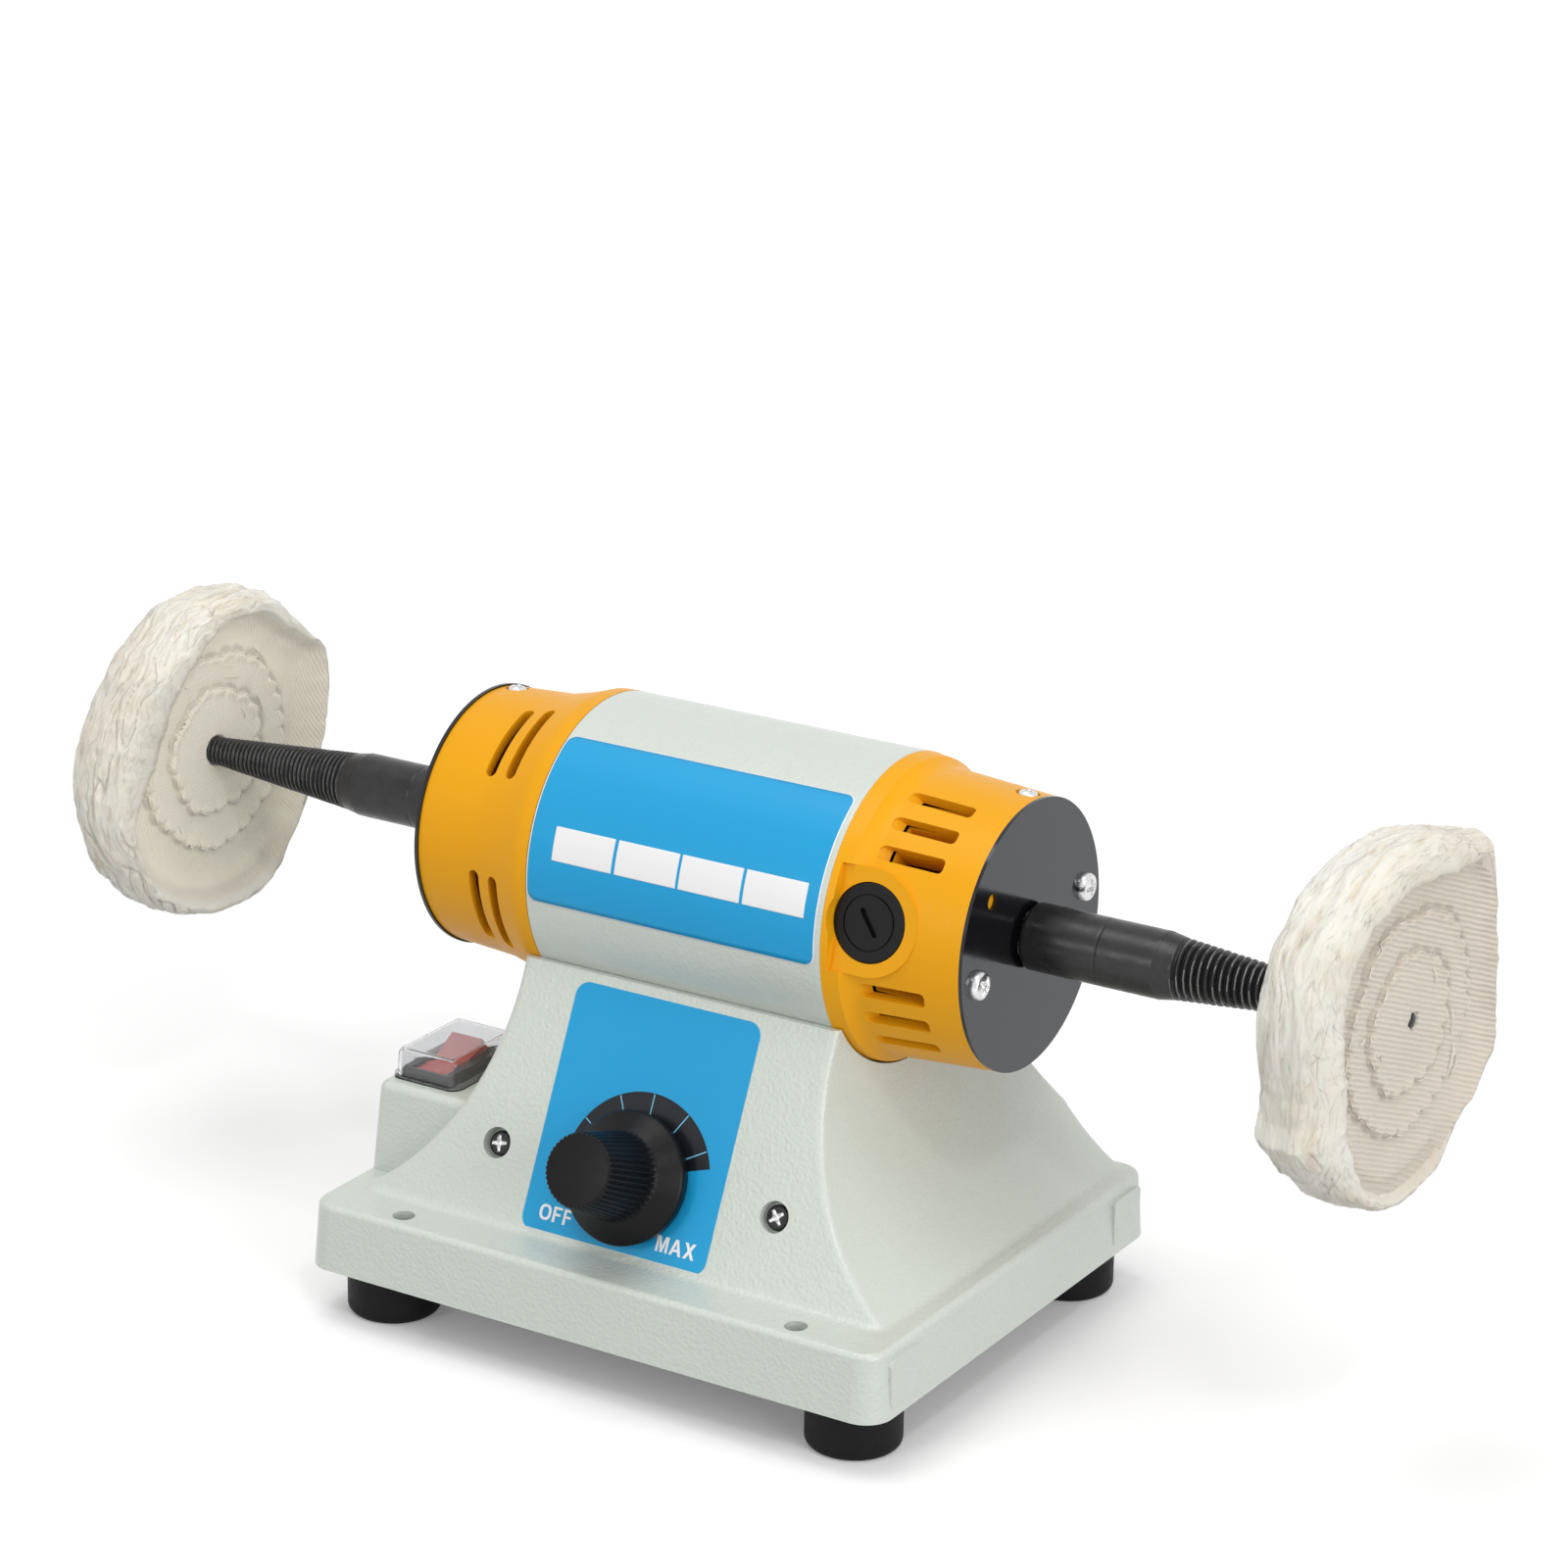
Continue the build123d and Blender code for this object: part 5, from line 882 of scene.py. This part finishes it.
def fractal(x, y, z, octaves):
    return noise.fractal(Vector((x, y, z)), 1.0, 2.0, octaves)


def bell(distance, width):
    """1 in the middle, falling to 0 on both sides over about the width."""
    return exp(-(distance / width) ** 2)


def buff_axes(info):
    """Middle of the disc's inner face, its axis and the two directions across it."""
    tilt = radians(info["tilt"])
    out = info["sign"] * Vector((cos(tilt), -sin(tilt), 0))
    across = Vector((sin(tilt), cos(tilt), 0))
    return Vector((info["sign"] * info["hub"], SHAFT_Y, SHAFT_Z)), out, across, Vector((0, 0, 1))


def buff_edges(info, angle):
    """Radius of the seen face's edge, the largest radius and the far face's edge at an angle."""
    table = np.array(info["outline"])
    turn = degrees(angle) % 360
    near = float(np.interp(turn, table[:, 0], table[:, 1], period=360))
    most = float(np.interp(turn, table[:, 0], table[:, 2], period=360))
    bare = 1 - frayed(info, angle)
    return near + 0.4 * (most - near) * bare, most - 1.0 * bare, most - 4.0


def frayed(info, angle):
    """1 where the fluffy rim hangs over the seen face, 0 where the cloth runs out to the edge."""
    low, high = info["bare"]
    turn = (degrees(angle) - low) % 360
    ragged = noise.noise(Vector((cos(angle) * 3, sin(angle) * 3, 2.0)))
    inside = min(turn, high - low - turn) + 9 * ragged
    return 1 - min(1.0, max(0.0, 0.5 + inside / 16))


def crease(x, y, z, width):
    """1 along the thin winding lines where the noise is zero, falling to 0 beside them."""
    return bell(noise.noise(Vector((x, y, z))), width)


def rim_point(info, angle, share):
    """Distance along the axis and radius of the rim, share 0 at the seen face, 1 at the far one."""
    seed = info["seed"]
    near, most, far = buff_edges(info, angle)
    w_near, w_far = info["near"]
    for middle, width, extra in info["rolls"]:
        aside = (degrees(angle) - middle + 180) % 360 - 180
        w_near += extra * bell(aside, width)
    c, s = cos(angle), sin(angle)
    swing = pi * share
    w = w_near + (w_far - w_near) * (1 - cos(swing)) / 2
    start = near if share < 0.5 else far
    r = start + (most - start) * sin(swing) ** 0.55
    drift = 2.4 * fractal(c * 1.5 + seed, s * 1.5, 0.0, 2)
    lane = w * 0.30 + drift
    lumps = fractal(c * 2.4 + seed, s * 2.4, lane * 0.8, 2)
    gape = noise.noise(Vector((c * 1.6, s * 1.6 + seed, w * 0.1)))
    parted = min(1.0, max(0.0, 0.55 + 1.8 * gape))
    slits = crease(c * 2.3 + seed, s * 2.3, lane * 1.25, 0.075)
    plies = crease(c * 3.6 + seed, s * 3.6 + 5, lane * 2.9, 0.11)
    strands = fractal(c * 9 + seed, s * 9, w * 1.5 + drift * 2, 3)
    fade = min(1.0, sin(swing) * 1.9 + 0.1)
    folds_and_painted_shade = 2.1 * info["slits"] * slits * parted + info["plies"] * plies
    r += fade * (0.8 * lumps - folds_and_painted_shade + 0.3) + (0.12 + 0.1 * fade) * strands
    r += 0.7 * fractal(c * 4 + seed, s * 4 + 9, w * 0.05, 3)
    w += 0.5 * fade * fractal(c * 9, s * 9 + seed, w * 0.3, 3)
    w += 0.7 * (1 - fade) * fractal(c * 7 + seed, s * 7, share * 3, 4)
    return w, r


def stitch_count(middle):
    return round(middle * 1.05)


def between_stitches(angle, middle, power):
    """0 at the stitches of a sewn line and 1 half way between them."""
    return abs(sin(angle * stitch_count(middle) / 2)) ** power


def scallop(angle, middle, seed):
    """Extra radius of a sewn line: straight stitches with the cloth puffed out between them."""
    arcs = 1.1 * between_stitches(angle, middle, 0.7)
    return arcs + 0.6 * sin(angle * 5 + middle) + 0.3 * sin(angle * 13 + seed)


def face_point(info, angle, share, seen):
    """Distance along the axis, radius and shift of a face, share 0 at the bore, 1 at the edge."""
    seed, lean = info["seed"], info["sign"] * tan(radians(info["tilt"]))
    outer = seen == (info["sign"] > 0)
    way = 1 if outer else -1
    level = BUFF_T if outer else 0.0
    c, s = cos(angle), sin(angle)
    hole = taper_radius(info["row"], info["hub"] + level) + 0.4
    if outer:
        hole = 2.2 + 0.5 * abs(sin(angle * 2.5 + seed)) ** 3
    hole += 0.2 * noise.noise(Vector((c * 3, s * 3, level)))
    edge_w, edge_r = rim_point(info, angle, 0.0 if seen else 1.0)
    r = hole + (edge_r - hole) * share
    lift = -1.4
    for middle, drop in zip(SEWN, SEWN_DROPS):
        gap = r - middle - scallop(angle, middle, seed)
        if gap < 0:
            lift += 0.9 * between_stitches(angle, middle, 0.6) * bell(gap + 1.2, 1.3)
        lift -= drop * exp(-max(0.0, gap) / 4.5) / (1 + exp(-gap * 5))
        lift -= 0.25 * bell(gap, 0.6)
    flare = max(0.0, (r - SEWN[1]) / max(4.0, edge_r - SEWN[1]))
    if seen:
        lift -= info["cup"] * sin(pi * min(1.0, flare)) ** 1.5
    lift += (0.3 + 0.9 * flare) * fractal(c * r * 0.045 + seed, s * r * 0.045, way * 3.0, 3)
    edge_lift = way * (edge_w - level)
    lift = lift * (1 - flare ** 4) + edge_lift * flare ** 4
    if seen:
        lift -= (0.2 + 1.4 * frayed(info, angle)) * bell(share - FRAY_AT, 0.045)
    shift = lean * level * max(0.0, 1 - (r - hole) / 12)
    return level + way * lift, r, shift


def painted_fold_shade(info, angle, r, share):
    """Painted shade at a point of a face: beside each sewn line, reaching further out on the far
    side, and under the fluffy rim.
    """
    shade = 0.45 * frayed(info, angle) * bell(share - FRAY_AT, 0.06)
    beyond = max(0.0, cos(angle))
    for middle in SEWN:
        gap = r - middle - scallop(angle, middle, info["seed"])
        puff = between_stitches(angle, middle, 0.6)
        line = bell(gap - 0.3 - 1.2 * beyond, 0.6 + 0.6 * beyond)
        shade += (0.3 + 0.4 * puff + 0.3 * beyond) * line
        if gap > 0:
            shade += 0.16 * exp(-gap / 3)
    return min(1.0, shade)


def build_buff(side):
    """The cloth body of a buff, in rows from one bore edge over the rim to the other."""
    info = BUFFS[side]
    hub, out, across, up = buff_axes(info)
    around, faces_n, rim_n = ((660, 104, 84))
    # soft_from: how frayed an angle must be for that row to be fluff rather than cloth
    rows, soft_from = [], []
    for k in range(faces_n):
        rows.append(lambda a, t=k / faces_n: face_point(info, a, t, True))
        soft_from.append(0.5 + 20 * (0.95 - k / faces_n))
    for k in range(rim_n + 1):
        rows.append(lambda a, t=k / rim_n: (*rim_point(info, a, t), 0.0))
        soft_from.append(-1.6 * (k / rim_n - 0.02) - 0.25 if k else 0.3)
    for k in range(faces_n):
        rows.append(lambda a, t=1 - (k + 1) / faces_n: face_point(info, a, t, False))
        soft_from.append(-1 if k < 3 else 2)
    # Painted shade for each point: beside the sewn lines and under the rim on the seen face, none
    # on the rim and the far face
    verts, folds_and_painted_shade = [], []
    for i, place in enumerate(rows):
        for j in range(around):
            angle = 2 * pi * j / around
            w, r, shift = place(angle)
            verts.append(circle_point(hub + out * w + across * shift, across, up, r, angle))
            folds_and_painted_shade.append(painted_fold_shade(info, angle, r, i / faces_n) if i < faces_n else 0.0)
    faces = grid_faces(len(rows), around, close_rows=True, close_columns=True)
    fray = [frayed(info, 2 * pi * j / around) - 0.55 for j in range(around)]
    picks = [1 if share > start else 0 for start in soft_from for share in fray]
    piece = mesh_piece(f"{side}_cloth_buff", verts, faces, [info["cloth"], fluff], "rotor", picks)
    piece.data.attributes.new("painted_shade", "FLOAT", "POINT").data.foreach_set("value", folds_and_painted_shade)
    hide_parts(f"{side}_buff")


def ribbon(verts, faces, points, radius):
    """Adds a thin three-sided thread that follows the points."""
    start = len(verts)
    for k, point in enumerate(points):
        ahead = (points[min(k + 1, len(points) - 1)] - points[max(k - 1, 0)]).normalized()
        side = ahead.orthogonal().normalized()
        other = ahead.cross(side)
        thin = radius * (0.35 if k in (0, len(points) - 1) else 1.0)
        verts += [circle_point(point, side, other, thin, 2 * pi * j / 3) for j in range(3)]
    faces += grid_faces(len(points), 3, close_columns=True, start=start)
    faces.append((start, start + 2, start + 1))
    last = start + 3 * (len(points) - 1)
    faces.append((last, last + 1, last + 2))


def buff_threads(side):
    """Stitches round the sewn lines, a few loose threads and the fibres that stand off the rim."""
    info = BUFFS[side]
    hub, out, across, up = buff_axes(info)
    rng = np.random.default_rng(11 if side == "left" else 23)

    def at(w, r, angle, shift=0.0):
        return circle_point(hub + out * w + across * shift, across, up, r, angle)

    def on_face(angle, r, seen, lift):
        outer = seen == (info["sign"] > 0)
        hole = 2.4 if outer else taper_radius(info["row"], info["hub"]) + 0.4
        edge = rim_point(info, angle, 0.0 if seen else 1.0)[1]
        w, _, shift = face_point(info, angle, (r - hole) / (edge - hole), seen)
        return at(w + (1 if outer else -1) * lift, r, angle, shift)

    verts, faces = [], []
    for middle in SEWN:
        count = stitch_count(middle)
        for seen in (True, False):
            for k in range(count):
                if rng.random() < 0.15:
                    continue
                ends = 2 * pi * (k + np.array((0.10, 0.62 + rng.uniform(0, 0.2)))) / count
                points = []
                for t in np.linspace(0, 1, 6):
                    a = ends[0] + (ends[1] - ends[0]) * t
                    r = middle + scallop(a, middle, info["seed"]) - 0.2 + rng.normal(0, 0.05)
                    points.append(on_face(a, r, seen, 0.1 + 0.45 * sin(pi * t)))
                ribbon(verts, faces, points, info["stitch"])
    for k in range(9):
        a, r = rng.uniform(0, 2 * pi), rng.uniform(14, 34)
        turn, run = rng.uniform(-0.35, 0.35), rng.uniform(-2.5, 2.5)
        points = [on_face(a + turn * t, r + run * t, True, 0.2 + 0.7 * sin(pi * t))
                  for t in np.linspace(0, 1, 7)]
        ribbon(verts, faces, points, 0.2)
    stitches = mesh_piece(f"{side}_buff_stitches", verts, faces, thread, "rotor")
    verts, faces = [], []
    for k in range(2400):
        a = rng.uniform(0, 2 * pi)
        share = rng.beta(0.8, 0.8)
        length = rng.uniform(2.5, 8.0)
        sweep = rng.choice((-1, 1)) * length / 48
        rise, drift = rng.uniform(0.0, 0.8) ** 2, rng.normal(0, 0.05)
        points = []
        for t in np.linspace(0, 1, 4):
            angle = a + sweep * t
            w, r = rim_point(info, angle, min(1, max(0, share + drift * t)))
            points.append(at(w, r - 0.1 + rise * sin(pi * (0.1 + 0.75 * t)), angle))
        ribbon(verts, faces, points, 0.045)
    fibres = mesh_piece(f"{side}_buff_fibres", verts, faces, fluff, "rotor")


for side in BUFFS:
    build_buff(side)
    buff_threads(side)


# Floor: it shows evenly white, and lights the object as a pale grey floor would
floor_mesh = bpy.data.meshes.new("floor")
floor_mesh.from_pydata([(-8, -8, 0), (8, -8, 0), (8, 8, 0), (-8, 8, 0)], [], [(0, 1, 2, 3)])
floor = add("floor", floor_mesh)
pale = Paint("pale_floor", (0.93, 0.93, 0.93), 0.85)
grain = pale.noise(1.2, 2)
seen = seen_share(pale.tree)
seen_tone = pale.mix(grain, (0.925, 0.925, 0.925), (0.94, 0.94, 0.94))
pale.paint(pale.mix(seen, (0.50, 0.50, 0.50), seen_tone))
pale.shader.inputs["Emission Color"].default_value = (1.0, 1.0, 1.0, 1.0)
away = pale.node("ShaderNodeVectorMath", operation="LENGTH")
pale.put(away.inputs[0], pale.coordinates)
glow = pale.spread(away.outputs["Value"], 0.25, 1.4, 0.12, 0.42)
pale.put(pale.shader.inputs["Emission Strength"], pale.math("MULTIPLY", seen, glow))
floor_mesh.materials.append(pale.mat)
